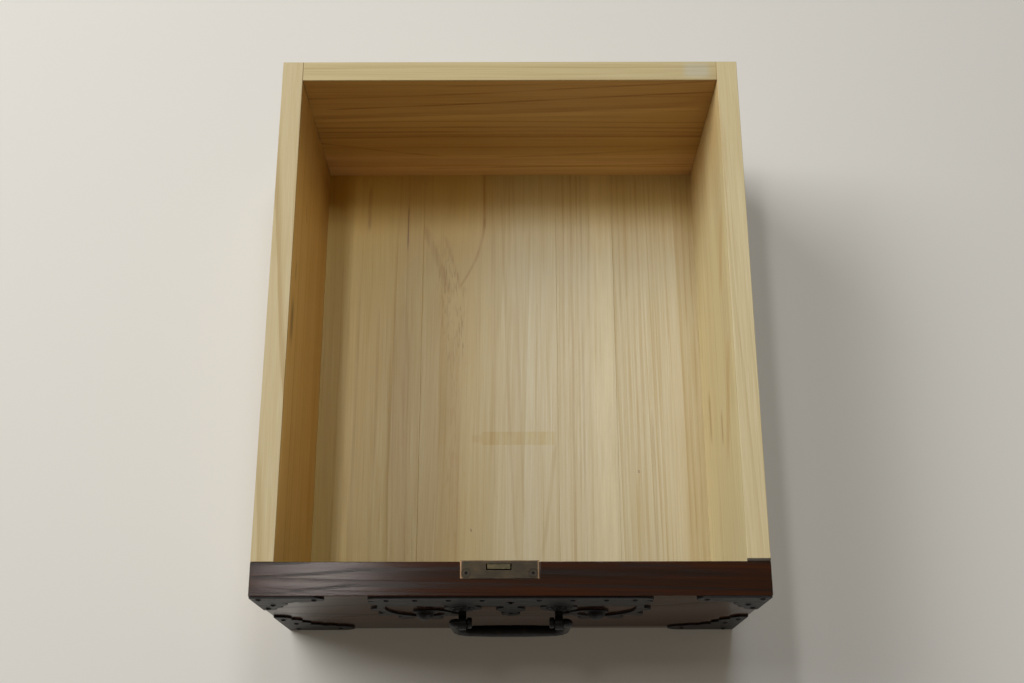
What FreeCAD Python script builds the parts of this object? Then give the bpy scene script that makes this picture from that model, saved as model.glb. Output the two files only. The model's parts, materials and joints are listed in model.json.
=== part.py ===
"""Drawer of a small tansu chest: paulownia box, lacquered front, forged iron fittings and a brass lock.

Millimetres. The origin is the middle of the underside, with X to the right as seen from the front,
Y towards the rear and Z up. Each piece is one object whose Label is the name of its STEP file.
"""
import FreeCAD
import Part
import math
import os
import re

V = FreeCAD.Vector

# Driving dimensions, in millimetres unless the note says otherwise.
SIZES = (
    ("box_width", 400.0, "width of the front and of the box"),
    ("box_depth", 468.0, "front face to rear face"),
    ("box_height", 192.5, "underside to top edge"),
    ("front_thickness", 26.3, "front board"),
    ("side_thickness", 18.0, "side boards"),
    ("back_thickness", 18.5, "back board"),
    ("floor_thickness", 10.0, "floor boards"),
    ("floor_rabbet", 9.0, "width of the rabbet that takes the floor"),
    ("seam_left", -86.0, "first glued seam of the floor, from the middle"),
    ("seam_middle", 45.0, "second seam of the floor"),
    ("seam_right", 101.0, "third seam of the floor"),
    ("tail_count", 3, "dovetails on each side board"),
    ("tail_length", 17.0, "reach of a dovetail into the front board"),
    ("tail_root", 24.0, "height of a dovetail at its shoulder"),
    ("tail_tip", 32.0, "height of a dovetail at its end"),
    ("finger_count", 5, "fingers of each rear corner joint"),
    ("peg_radius", 1.5, "wooden pegs, across their corners"),
    ("peg_length", 34.0, "wooden pegs"),
    ("peg_margin", 32.0, "from an inner corner to the first floor peg"),
    ("pegs_deep", 6, "floor pegs along each side board"),
    ("pegs_wide", 5, "floor pegs along the front and the back"),
    ("iron_thickness", 1.6, "sheet of the corner irons and the centre plate"),
    ("top_iron_length", 57.0, "upper corner irons, along the top edge"),
    ("top_iron_height", 63.0, "upper corner irons, down the side edge"),
    ("top_iron_arm", 17.0, "width of their arm along the top edge"),
    ("bottom_iron_length", 61.0, "lower corner irons, along the bottom edge"),
    ("bottom_iron_height", 83.0, "lower corner irons, up the side edge"),
    ("bottom_iron_arm", 27.0, "width of their arm along the bottom edge"),
    ("iron_inset", 0.6, "from the board's edge to an iron's edge"),
    ("nail_head", 2.3, "radius of a nail's domed head"),
    ("nail_dome", 1.5, "height of a nail's head"),
    ("nail_shank", 1.6, "width of a nail's square shank"),
    ("nail_length", 8.5, "nail under its head"),
    ("plate_half_width", 110.0, "centre plate, from the middle to its end"),
    ("plate_inset", 3.0, "from the top edge to the centre plate"),
    ("plate_band", 35.0, "height of the band along the top of the centre plate"),
    ("vine_width", 6.0, "width of the centre plate's scrolls"),
    ("stud_radius", 8.0, "domed stud in each scroll"),
    ("stud_dome", 6.5, "height of a stud's head"),
    ("stud_shank", 3.0, "width of a stud's square shank"),
    ("stud_length", 15.0, "stud under its head"),
    ("post_spread", 38.5, "handle post, from the middle"),
    ("pivot_drop", 56.0, "handle pivot, below the top edge"),
    ("pivot_reach", 13.0, "handle pivot, in front of the front face"),
    ("post_width", 6.0, "iron strip of a handle post"),
    ("strip_thickness", 2.2, "thickness of that strip"),
    ("clinch_length", 11.0, "bent end of each leg of a post"),
    ("eye_play", 0.5, "between the eye of a post and the handle's pin"),
    ("fit_play", 0.2, "between an iron leg and its hole"),
    ("rosette_radius", 11.0, "washer in front of the centre plate"),
    ("rosette_height", 2.4, "its domed height"),
    ("rosette_petals", 12, "petals of that washer"),
    ("washer_width", 14.0, "square washer behind the front board"),
    ("washer_thickness", 1.0, "thickness of that washer"),
    ("handle_drop", 52.0, "pivot to the middle of the handle's grip"),
    ("handle_half_width", 46.5, "handle arm, from the middle"),
    ("pin_radius", 3.0, "handle pin in the eye of its post"),
    ("arm_radius", 3.4, "handle arm"),
    ("grip_radius", 4.6, "middle of the grip"),
    ("grip_half_length", 33.0, "swelling part of the grip, from the middle"),
    ("knob_radius", 4.4, "knob at the end of a pin"),
    ("knob_length", 4.0, "length of that knob"),
    ("lock_offset", -8.3, "middle of the lock, from the middle of the front"),
    ("lock_width", 61.0, "brass plate of the lock"),
    ("lock_height", 40.0, "brass plate, down the inside of the front board"),
    ("lock_sheet", 2.0, "thickness of the brass plate"),
    ("lock_proud", 0.8, "brass plate, standing behind the board's inner face"),
    ("selvage_depth", 14.0, "lip of the brass plate on the top edge"),
    ("selvage_sheet", 1.6, "thickness of that lip"),
    ("selvage_proud", 0.2, "lip, standing above the top edge"),
    ("case_margin", 8.5, "from the ends of the brass plate to the sheet case"),
    ("case_height", 36.0, "height of the case"),
    ("case_depth", 11.0, "depth of the case"),
    ("case_wall", 1.2, "wall of the case"),
    ("case_play", 0.5, "between the case and its mortise"),
    ("rivet_radius", 1.5, "rivets through the case"),
    ("rivet_inset", 4.5, "rivet, from the case's edges"),
    ("bolt_width", 17.8, "head of the bolt"),
    ("bolt_offset", -9.0, "middle of the bolt, from the middle of the front"),
    ("bolt_thickness", 3.6, "thickness of the bolt"),
    ("bolt_gap", 0.9, "between the bolt and the brass plate"),
    ("bolt_length", 34.0, "bolt, from its end to its tail"),
    ("bolt_neck", 12.0, "length of the bolt's full width"),
    ("bolt_tail", 12.4, "width of the bolt's tail"),
    ("bolt_sink", 0.4, "bolt's end, below the lip's top"),
    ("bolt_play", 0.8, "between the bolt and its slot"),
    ("bolt_throw", 6.5, "travel of the bolt"),
    ("talon_depth", 4.0, "notch where the key drives the bolt"),
    ("talon_height", 7.0, "height of that notch"),
    ("key_drop", 24.0, "axis of the key, below the top edge"),
    ("key_pin_radius", 1.5, "pin that the key turns on"),
    ("key_pin_length", 16.0, "length of that pin"),
    ("guide_radius", 1.6, "pin that guides the bolt"),
    ("guide_drop", 22.0, "guide pin, below the top edge"),
    ("guide_play", 0.3, "between the guide pin and its slot"),
    ("drill_play", 0.05, "between a pin and its drilled hole"),
    ("spring_sheet", 0.6, "leaf spring beside the bolt"),
    ("spring_play", 0.3, "between the leaf spring and the case"),
    ("spring_rise", 18.0, "foot to tip of the leaf spring"),
    ("spring_tab", 5.0, "part of the spring that lies on the bolt"),
    ("keyhole_radius", 3.3, "round part of the keyhole"),
    ("keyhole_slot", 2.8, "width of the keyhole's slot"),
    ("keyhole_reach", 9.0, "axis of the key to the foot of the slot"),
    ("keyway_play", 1.2, "between the keyhole and the way through the board"),
    ("screw_head", 2.7, "radius of a countersunk screw's head"),
    ("screw_cone", 1.6, "depth of that head"),
    ("screw_shank", 1.3, "radius of the screw"),
    ("screw_length", 12.0, "length of the screw"),
    ("screw_inset", 4.8, "screw, from the end of the brass plate"),
    ("selvage_screw", 8.9, "lip's screws, from the board's inner face"),
    ("plate_screw", 35.0, "plate's screws, below the top edge"),
    ("recess_width", 0.8, "bars of the cross recess in a screw's head"),
    ("recess_length", 2.8, "length of those bars"),
    ("recess_depth", 1.0, "depth of that recess"),
)

ALIASES = {alias for alias, value, note in SIZES}

document = FreeCAD.newDocument("TansuDrawer")
sheet = document.addObject("Spreadsheet::Sheet", "Sizes")
for row, (alias, value, note) in enumerate(SIZES, start=1):
    sheet.set(f"A{row}", alias)
    sheet.set(f"B{row}", str(value))
    sheet.setAlias(f"B{row}", alias)
    sheet.set(f"C{row}", note)
document.recompute()


def size(alias):
    """Value of one cell of the sheet."""
    return float(sheet.get(alias))


def bound(formula):
    """Formula of aliases, written so that an expression finds them in the sheet."""
    return re.sub(r"[a-z_]+", lambda word: f"Sizes.{word[0]}" if word[0] in ALIASES else word[0], formula)


def bind(item, **formulas):
    """Tie properties of an object to formulas of the sheet's aliases."""
    for name, formula in formulas.items():
        item.setExpression(name, bound(formula))
    return item


def place(item, x, y, z):
    """Tie an object's position to three formulas."""
    for axis, formula in zip("xyz", (x, y, z)):
        item.setExpression(f"Placement.Base.{axis}", bound(formula))
    return item


# Places that several pieces share, as formulas of the sheet.
TOP = "box_height"
FRONT = "(-box_depth / 2)"
REAR = "(box_depth / 2)"
HALF_WIDTH = "(box_width / 2)"
INSIDE = f"({FRONT} + front_thickness)"
BACK_FACE = f"({REAR} - back_thickness)"
INNER_HALF = f"({HALF_WIDTH} - side_thickness)"
FLOOR_HALF = f"({INNER_HALF} + floor_rabbet)"
PLATE_FACE = f"({FRONT} - iron_thickness)"
LOCK_REAR = f"({INSIDE} + lock_proud)"
LOCK_FACE = f"({LOCK_REAR} - lock_sheet)"
LOCK_LEFT = "(lock_offset - lock_width / 2)"
LOCK_RIGHT = "(lock_offset + lock_width / 2)"
LIP_TOP = f"({TOP} + selvage_proud)"
LIP_UNDER = f"({LIP_TOP} - selvage_sheet)"
CASE_FRONT = f"({LOCK_FACE} - case_depth)"
CASE_LEFT = f"({LOCK_LEFT} + case_margin)"
CASE_RIGHT = f"({LOCK_RIGHT} - case_margin)"
CASE_FOOT = f"({LIP_UNDER} - case_height)"
BOLT_REAR = f"({LOCK_FACE} - bolt_gap)"
BOLT_FACE = f"({BOLT_REAR} - bolt_thickness)"
BOLT_LEFT = "(bolt_offset - bolt_width / 2)"
BOLT_RIGHT = "(bolt_offset + bolt_width / 2)"
TAIL_RIGHT = f"({BOLT_LEFT} + bolt_tail)"
GUIDE_X = f"({BOLT_LEFT} + (bolt_tail - talon_depth) / 2)"
KEY_Z = f"({TOP} - key_drop)"
GUIDE_Z = f"({TOP} - guide_drop)"
PIVOT_Y = f"({FRONT} - pivot_reach)"
PIVOT_Z = f"({TOP} - pivot_drop)"


def value_of(formula):
    """Length that a formula of aliases comes to."""
    return float(sheet.evalExpression(bound(formula)))


# Turns that lay an object's own Z along each direction.
TURNS = {
    "right": FreeCAD.Rotation(V(0, 1, 0), 90),
    "left": FreeCAD.Rotation(V(0, 1, 0), -90),
    "backwards": FreeCAD.Rotation(V(1, 0, 0), -90),
    "forwards": FreeCAD.Rotation(V(1, 0, 0), 90),
    "up": FreeCAD.Rotation(),
    "down": FreeCAD.Rotation(V(1, 0, 0), 180),
}


def block(name, x, y, z):
    """Box between two formulas along each axis."""
    item = document.addObject("Part::Box", name)
    for side, (low, high) in zip(("Length", "Width", "Height"), (x, y, z)):
        bind(item, **{side: f"({high}) - ({low})"})
    return place(item, x[0], y[0], z[0])


def rod(name, direction, radius, length, x, y, z):
    """Cylinder that starts at a point and runs in a direction."""
    item = document.addObject("Part::Cylinder", name)
    item.Placement = FreeCAD.Placement(V(), TURNS[direction])
    return place(bind(item, Radius=radius, Height=length), x, y, z)


def fuse(name, *shapes):
    """Union of several objects."""
    item = document.addObject("Part::MultiFuse", name)
    item.Shapes = list(shapes)
    return item


def group(name, shapes):
    """Separate solids held as one object."""
    item = document.addObject("Part::Compound", name)
    item.Links = list(shapes)
    return item


def cut(name, base, *tools):
    """Object less one or more tools."""
    item = document.addObject("Part::Cut", name)
    item.Base = base
    item.Tool = tools[0] if len(tools) == 1 else group(f"{name}_tools", tools)
    return item


def cut_each(name, base, tools):
    """Object less tools that overlap each other, one after the other."""
    for count, tool in enumerate(tools, start=1):
        last = count == len(tools)
        base = cut(name if last else f"{name}_step_{count}", base, tool)
    return base


def solid(name, shape):
    """Object that holds a shape worked out from the sheet's values."""
    item = document.addObject("Part::Feature", name)
    item.Shape = shape
    return item


def mirrored_span(side, near, far):
    """Low and high X of a span given from the middle outwards, on side -1 or 1."""
    return (near, far) if side > 0 else (f"-({far})", f"-({near})")


def spread(low, high, count):
    """Formulas of places spread evenly from one formula to another."""
    return [f"{low} + ({high} - {low}) * {step} / {count - 1}" for step in range(count)]


# ---------------------------------------------------------------- wooden pegs

def peg(name, direction, x, y, z):
    """Eight-sided whittled peg that starts at a point and runs in a direction."""
    item = document.addObject("Part::Prism", name)
    item.Polygon = 8
    item.Placement = FreeCAD.Placement(V(), TURNS[direction])
    return place(bind(item, Circumradius="peg_radius", Height="peg_length"), x, y, z)


def floor_peg_group():
    """Pegs driven up through the floor into the four boards that carry it."""
    along_side = f"({INNER_HALF} + floor_rabbet / 2)"
    margin = f"({INNER_HALF} - peg_margin)"
    pegs = []
    for side in (-1, 1):
        for y in spread(f"({INSIDE} + peg_margin)", f"({BACK_FACE} - peg_margin)", int(size("pegs_deep"))):
            pegs.append(peg(f"floor_peg_{len(pegs)}", "up", f"{side} * {along_side}", y, "0"))
    for y in (f"{INSIDE} - floor_rabbet / 2", f"{BACK_FACE} + back_thickness / 2"):
        for x in spread(f"(-{margin})", margin, int(size("pegs_wide"))):
            pegs.append(peg(f"floor_peg_{len(pegs)}", "up", x, y, "0"))
    return group("floor_pegs", pegs)


def finger_level(index):
    """Foot of one finger of a rear corner joint, counted from the bottom."""
    return f"(floor_thickness + (box_height - floor_thickness) * {index} / finger_count)"


def rear_peg_group():
    """Pegs across the rear corners: two through each finger."""
    inwards = {-1: "right", 1: "left"}
    pegs = []
    for index in range(int(size("finger_count"))):
        for share in (1, 3):
            step = f"(box_height - floor_thickness) / finger_count * {share} / 4"
            z = f"{finger_level(index)} + {step}"
            for side in (-1, 1):
                name = f"rear_peg_{len(pegs)}"
                if index % 2 == 0:
                    y = f"{REAR} - back_thickness / 2"
                    pegs.append(peg(name, inwards[side], f"{side} * {HALF_WIDTH}", y, z))
                else:
                    x = f"{side} * ({HALF_WIDTH} - side_thickness / 2)"
                    pegs.append(peg(name, "forwards", x, REAR, z))
    return group("rear_joint_pegs", pegs)


# --------------------------------------------------------------- wooden boards

def finger(name, side, index):
    """Block of one finger of a rear corner joint."""
    x = mirrored_span(side, INNER_HALF, HALF_WIDTH)
    return block(name, x, (BACK_FACE, REAR), (finger_level(index), finger_level(index + 1)))


def tail(name, side, index):
    """One dovetail: it widens from the front board's inner face towards the front."""
    item = document.addObject("Part::Wedge", name)
    item.Placement = FreeCAD.Placement(V(), FreeCAD.Rotation(V(0, 0, 1), 180))
    bind(item, Xmin="0", Xmax="side_thickness", X2min="0", X2max="side_thickness", Ymin="0", Ymax="tail_length")
    bind(item, Zmin="-tail_root / 2", Zmax="tail_root / 2", Z2min="-tail_tip / 2", Z2max="tail_tip / 2")
    x = HALF_WIDTH if side > 0 else f"-{INNER_HALF}"
    return place(item, x, INSIDE, f"box_height * (2 * {index} + 1) / (2 * tail_count)")


def tails(prefix, side):
    """Every dovetail of one side board."""
    return [tail(f"{prefix}_tail_{index}", side, index) for index in range(int(size("tail_count")))]


def side_board(name, side, pegs):
    """Side board: dovetails in front, fingers at the rear and a rabbet for the floor."""
    plank = block(f"{name}_plank", mirrored_span(side, INNER_HALF, HALF_WIDTH), (INSIDE, REAR), ("0", TOP))
    rabbet = block(f"{name}_rabbet", mirrored_span(side, INNER_HALF, FLOOR_HALF), (INSIDE, REAR),
                   ("0", "floor_thickness"))
    notches = [finger(f"{name}_notch_{index}", side, index) for index in range(1, int(size("finger_count")), 2)]
    whole = fuse(f"{name}_whole", plank, *tails(name, side))
    return cut_each(name, whole, [rabbet, group(f"{name}_notches", notches), *pegs])


def back_board(pegs):
    """Back board between the sides, with its fingers through them."""
    plank = block("back_plank", (f"-{INNER_HALF}", INNER_HALF), (BACK_FACE, REAR), ("floor_thickness", TOP))
    fingers = []
    for side in (-1, 1):
        for index in range(1, int(size("finger_count")), 2):
            fingers.append(finger(f"back_finger_{len(fingers)}", side, index))
    return cut_each("back_board", fuse("back_whole", plank, *fingers), pegs)


def floor_boards(pegs):
    """Four glued boards of the floor, flush with the underside."""
    seams = (f"-{FLOOR_HALF}", "seam_left", "seam_middle", "seam_right", FLOOR_HALF)
    names = ("floor_board_left", "floor_board_middle", "floor_board_narrow", "floor_board_right")
    boards = []
    for name, low, high in zip(names, seams, seams[1:]):
        plank = block(f"{name}_plank", (low, high), (f"{INSIDE} - floor_rabbet", REAR), ("0", "floor_thickness"))
        boards.append(cut(name, plank, pegs))
    return boards


def lock_mortise():
    """Room that the lock takes in the front board: lip, plate, case and the key's way in."""
    lip = block("lip_recess", (LOCK_LEFT, LOCK_RIGHT), (f"{INSIDE} - selvage_depth + lock_proud", INSIDE),
                (LIP_UNDER, TOP))
    plate = block("plate_recess", (LOCK_LEFT, LOCK_RIGHT), (LOCK_FACE, INSIDE), (f"{TOP} - lock_height", TOP))
    case = block("case_mortise", (f"{CASE_LEFT} - case_play", f"{CASE_RIGHT} + case_play"),
                 (f"{CASE_FRONT} - case_play", INSIDE), (f"{CASE_FOOT} - case_play", TOP))
    way = rod("key_way", "backwards", "keyhole_radius + keyway_play", f"({CASE_FRONT}) - ({FRONT})", "0", FRONT, KEY_Z)
    half_slot = "(keyhole_slot / 2 + keyway_play)"
    slot = block("key_way_slot", (f"-{half_slot}", half_slot), (FRONT, CASE_FRONT),
                 (f"{KEY_Z} - keyhole_reach - keyway_play", KEY_Z))
    return [lip, plate, case, way, slot]


def front_board(pegs, fittings):
    """Front board over the whole width, with sockets for the dovetails and room for the fittings."""
    plank = block("front_plank", (f"-{HALF_WIDTH}", HALF_WIDTH), (FRONT, INSIDE), ("0", TOP))
    rabbet = block("front_rabbet", (f"-{FLOOR_HALF}", FLOOR_HALF), (f"{INSIDE} - floor_rabbet", INSIDE),
                   ("0", "floor_thickness"))
    sockets = group("front_sockets", tails("socket_left", -1) + tails("socket_right", 1))
    return cut_each("front_board", plank, [sockets, rabbet, pegs, *lock_mortise(), *fittings])


# ----------------------------------------------------------- ornamental ironwork

def outline(corners, to_face):
    """Face inside a closed chain of corners (a, b, bulge).

    The bulge is the height of the arc to the next corner over its chord, and 0 is a straight edge.
    """
    edges = []
    for (a, b, bulge), (c, d, _) in zip(corners, corners[1:] + corners[:1]):
        start, end = to_face(a, b), to_face(c, d)
        if bulge:
            middle = to_face((a + c) / 2 + bulge * (d - b), (b + d) / 2 - bulge * (c - a))
            edges.append(Part.Arc(start, middle, end).toShape())
        else:
            edges.append(Part.LineSegment(start, end).toShape())
    return Part.Face(Part.Wire(edges))


def sheet_iron(faces, holes):
    """Faces of the front's plane made one sheet of iron, less the holes."""
    outwards = V(0, -size("iron_thickness"), 0)
    pieces = [face.extrude(outwards) for face in faces]
    whole = pieces[0].multiFuse(pieces[1:]) if len(pieces) > 1 else pieces[0]
    return whole.removeSplitter().cut(holes).Solids[0]


def nail_at(x, z):
    """Iron nail: domed head on the iron's face and a square shank behind it."""
    head, dome, shank = size("nail_head"), size("nail_dome"), size("nail_shank")
    return domed_nail(x, z, head, dome, shank, size("nail_length"))


def domed_nail(x, z, head, dome, shank, length):
    """Spherical cap on the iron's face, with a square shank into the board."""
    face = value_of(PLATE_FACE)
    ball = (head * head + dome * dome) / (2 * dome)
    base_angle = math.degrees(math.asin((ball - dome) / ball))
    cap = Part.makeSphere(ball, V(x, face + ball - dome, z), V(0, -1, 0), base_angle, 90, 360)
    return cap.fuse(square_shank(x, z, shank, length)).removeSplitter()


def square_shank(x, z, shank, length):
    """Square shank behind the iron's face."""
    return Part.makeBox(shank, length, shank, V(x - shank / 2, value_of(PLATE_FACE), z - shank / 2))


class CornerIron:
    """Scalloped L-shaped iron on one corner of the front."""

    def __init__(self, name, side, level):
        kind = "top" if level > 0 else "bottom"
        self.name, self.side, self.level = name, side, level
        self.length = size(f"{kind}_iron_length")
        self.height = size(f"{kind}_iron_height")
        self.arm = size(f"{kind}_iron_arm")

    def to_face(self, along, up):
        """Point of the front face, from the distances to the side edge and the top or bottom edge."""
        x = self.side * (value_of(HALF_WIDTH) - size("iron_inset") - along)
        edge = value_of(TOP) - size("iron_inset") if self.level > 0 else size("iron_inset")
        return V(x, value_of(FRONT), edge - self.level * up)

    def face(self):
        """Outline with lobes along its inner edge."""
        length, height, arm = self.length, self.height, self.arm
        return outline([
            (0, 0, 0),
            (length - arm / 2, 0, 0.5),
            (length - arm / 2, arm * 0.94, 0.22),
            (length * 0.57, arm * 1.08, 0.24),
            (length * 0.38, arm * 1.38, 0.30),
            (length * 0.30, height * 0.64, 0.34),
            (length * 0.20, height * 0.82, 0.36),
            (0, height, 0),
        ], self.to_face)

    def nail_places(self):
        """Middles of the nails: corner, arm, lobe and tip."""
        places = ((self.arm * 0.36, self.arm * 0.36), (self.length - self.arm / 2, self.arm * 0.47),
                  (self.length * 0.22, self.height * 0.55), (self.length * 0.10, self.height * 0.84))
        return [self.to_face(along, up) for along, up in places]


# Vine of the centre plate: radius and turn in degrees of each arc, from the band's end inwards.
VINE_ARCS = ((80, 28), (45, 40), (24, 60), (19, 80), (14, 90), (9.5, 60))
VINE_HEADING = 72
# Leaves of the vine: foot and tip, across from the plate's end and down from the top edge.
VINE_LEAVES = (((7, 54), (-1, 70)), ((11, 82), (3, 99)), ((26, 99), (19, 119)), ((46, 103), (49, 121)),
               ((57, 86), (68, 98)))
VINE_START = (10, 34)
STUD_PLACE = (40, 79)
# Nails along the band, across from the plate's end.
BAND_NAILS = (14, 36, 62, 88)
BAND_NAIL_DROP = 13


class CentrePlate:
    """Pierced iron plate in the middle of the front, with a scroll on each side."""

    def __init__(self):
        self.half = size("plate_half_width")
        self.drop = size("plate_inset")
        self.foot = self.drop + size("plate_band")
        self.post = size("post_spread")
        self.pivot = size("pivot_drop")

    @staticmethod
    def to_face(across, down):
        """Point of the front face, from the middle and down from the top edge."""
        return V(across, value_of(FRONT), value_of(TOP) - down)

    def disc(self, across, down, radius):
        """Round face on the front."""
        return Part.Face(Part.Wire(Part.makeCircle(radius, self.to_face(across, down), V(0, 1, 0))))

    def band(self):
        """Band along the top, with lobes along its lower edge and at its ends."""
        half, drop, foot = self.half, self.drop, self.foot
        lobe = (half - 6) / 4
        lower = [(half - 6 - lobe * step, foot, 0.24) for step in range(8)]
        return outline([(6 - half, drop, 0), (half - 6, drop, 0.5), (half - 6, drop + 12, 0.3), *lower,
                        (6 - half, foot, 0.3), (6 - half, drop + 12, 0.5)], self.to_face)

    def pendant(self):
        """Pointed drop below the keyhole."""
        top, waist, low = self.foot - 8, self.foot + 14, self.pivot + 44
        return outline([(-8, top, 0), (8, top, 0), (5, waist, 0.28), (4, low - 22, 0.25), (0, low, 0.25),
                        (-4, low - 22, 0.28), (-5, waist, 0)], self.to_face)

    def pads(self, side):
        """Pad under one handle post and the neck that joins it to the band."""
        radius = size("rosette_radius") + 4
        neck = outline([(side * (self.post - 9), self.foot - 6, 0), (side * (self.post + 9), self.foot - 6, 0),
                        (side * (self.post + 9), self.pivot, 0), (side * (self.post - 9), self.pivot, 0)],
                       self.to_face)
        return [neck, self.disc(side * self.post, self.pivot, radius)]

    def arc_band(self, side, centre, radius, width, start, turn):
        """Part of a ring about a centre, from one heading through a turn."""
        def at(distance, heading):
            angle = math.radians(heading)
            return self.to_face(side * (centre[0] + distance * math.sin(angle)),
                                centre[1] - distance * math.cos(angle))
        outer, inner = radius + width / 2, radius - width / 2
        middle, end = start + turn / 2, start + turn
        edges = [Part.Arc(at(outer, start), at(outer, middle), at(outer, end)).toShape(),
                 Part.LineSegment(at(outer, end), at(inner, end)).toShape(),
                 Part.Arc(at(inner, end), at(inner, middle), at(inner, start)).toShape(),
                 Part.LineSegment(at(inner, start), at(outer, start)).toShape()]
        return Part.Face(Part.Wire(edges))

    def vine(self, side):
        """Scroll that hangs from the band's end and winds in to the stud."""
        across, down = self.half - VINE_START[0], VINE_START[1]
        heading, width = VINE_HEADING, size("vine_width")
        faces = []
        for radius, turn in VINE_ARCS:
            angle = math.radians(heading)
            centre = (across - radius * math.sin(angle), down + radius * math.cos(angle))
            faces.append(self.arc_band(side, centre, radius, width, heading, turn))
            heading += turn
            angle = math.radians(heading)
            across, down = centre[0] + radius * math.sin(angle), centre[1] - radius * math.cos(angle)
            faces.append(self.disc(side * across, down, width / 2))
        return faces

    def leaves(self, side):
        """Pointed leaves of one scroll."""
        faces = []
        for (foot_across, foot_down), (tip_across, tip_down) in VINE_LEAVES:
            foot = (side * (self.half - foot_across), foot_down)
            tip = (side * (self.half - tip_across), tip_down)
            faces.append(outline([(*foot, 0.32), (*tip, 0.32)], self.to_face))
        return faces

    def stud_place(self, side):
        """Middle of one domed stud."""
        return self.to_face(side * (self.half - STUD_PLACE[0]), STUD_PLACE[1])

    def faces(self):
        """Every face that makes the plate's outline."""
        found = [self.band(), self.pendant()]
        for side in (-1, 1):
            found += self.pads(side) + self.vine(side) + self.leaves(side)
            place_of_stud = self.stud_place(side)
            found.append(self.disc(place_of_stud.x, STUD_PLACE[1], size("stud_radius") + 2))
        return found

    def nail_places(self):
        """Middles of the small nails: along the band and at the pendant's foot."""
        places = [self.to_face(side * (self.half - across), BAND_NAIL_DROP)
                  for side in (-1, 1) for across in BAND_NAILS]
        return places + [self.to_face(0, self.pivot + 30)]

    def keyhole(self):
        """Round hole with a slot below it."""
        radius, slot, reach = size("keyhole_radius"), size("keyhole_slot"), size("keyhole_reach")
        face, depth = value_of(PLATE_FACE), size("iron_thickness")
        key = V(0, face, value_of(KEY_Z))
        return [Part.makeCylinder(radius, depth, key, V(0, 1, 0)),
                Part.makeBox(slot, depth, reach, key - V(slot / 2, 0, reach))]


# -------------------------------------------------------------------- handle

def leg_half():
    """Half the height of the hole that takes the two legs of a post."""
    return "(strip_thickness + fit_play)"


def post_hole(side):
    """Hole through the front board, the plate and the washers for the legs of one post."""
    x = f"{side} * post_spread"
    return block(f"post_hole_{side + 1}", (f"{x} - post_width / 2 - fit_play", f"{x} + post_width / 2 + fit_play"),
                 (f"{PIVOT_Y}", f"{INSIDE} + washer_thickness"),
                 (f"{PIVOT_Z} - {leg_half()} - fit_play", f"{PIVOT_Z} + {leg_half()} + fit_play"))


def handle_post(name, side):
    """Iron strip bent round the handle's pin, through the board, and clinched behind it."""
    half = "post_width / 2"
    x = (f"{side} * post_spread - {half}", f"{side} * post_spread + {half}")
    eye = rod(f"{name}_eye", "right", "pin_radius + eye_play + strip_thickness", "post_width", x[0], PIVOT_Y, PIVOT_Z)
    hole = rod(f"{name}_bore", "right", "pin_radius + eye_play", "post_width", x[0], PIVOT_Y, PIVOT_Z)
    clinch_face = f"({INSIDE} + washer_thickness)"
    parts = [eye]
    for label, sign in (("upper", 1), ("lower", -1)):
        near, far = "fit_play / 2", "(fit_play / 2 + strip_thickness)"
        z = (f"{PIVOT_Z} + {near}", f"{PIVOT_Z} + {far}") if sign > 0 else (
            f"{PIVOT_Z} - {far}", f"{PIVOT_Z} - {near}")
        reach = "(fit_play / 2 + clinch_length)"
        bent = (f"{PIVOT_Z} + {near}", f"{PIVOT_Z} + {reach}") if sign > 0 else (
            f"{PIVOT_Z} - {reach}", f"{PIVOT_Z} - {near}")
        parts.append(block(f"{name}_{label}_leg", x, (PIVOT_Y, f"{clinch_face} + strip_thickness"), z))
        parts.append(block(f"{name}_{label}_clinch", x, (clinch_face, f"{clinch_face} + strip_thickness"), bent))
    return cut(name, fuse(f"{name}_strip", *parts), hole)


def rosette(name, side, hole):
    """Domed washer with petals, between the post's eye and the centre plate."""
    radius, height, petals = size("rosette_radius"), size("rosette_height"), int(size("rosette_petals"))
    middle = V(side * size("post_spread"), value_of(PLATE_FACE), value_of(PIVOT_Z))
    dome = Part.makeCone(radius, radius * 0.5, height, middle, V(0, -1, 0))
    for index in range(petals):
        angle = 2 * math.pi * index / petals
        notch_at = middle + V(radius * math.cos(angle), 0.5, radius * math.sin(angle))
        dome = dome.cut(Part.makeCylinder(radius * 0.11, height + 1, notch_at, V(0, -1, 0)))
    return cut(name, solid(f"{name}_dome", dome), hole)


def post_washer(name, side, hole):
    """Square washer under the clinched legs."""
    x, half = f"{side} * post_spread", "washer_width / 2"
    plate = block(f"{name}_plate", (f"{x} - {half}", f"{x} + {half}"), (INSIDE, f"{INSIDE} + washer_thickness"),
                  (f"{PIVOT_Z} - {half}", f"{PIVOT_Z} + {half}"))
    return cut(name, plate, hole)


def pipe(points, bends, radius):
    """Round bar along straight runs joined by tangent arcs."""
    edges, start = [], points[0]
    for before, corner, after, bend in zip(points, points[1:], points[2:], bends):
        inwards, outwards = (before - corner).normalize(), (after - corner).normalize()
        half = inwards.getAngle(outwards) / 2
        reach = bend / math.tan(half)
        bisector = (inwards + outwards).normalize()
        first, last = corner + inwards * reach, corner + outwards * reach
        middle = corner + bisector * (bend / math.sin(half) - bend)
        edges += [Part.LineSegment(start, first).toShape(), Part.Arc(first, middle, last).toShape()]
        start = last
    edges.append(Part.LineSegment(start, points[-1]).toShape())
    path = Part.Wire(edges)
    circle = Part.Wire(Part.makeCircle(radius, points[0], points[1] - points[0]))
    return path.makePipeShell([circle], True, False)


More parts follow.
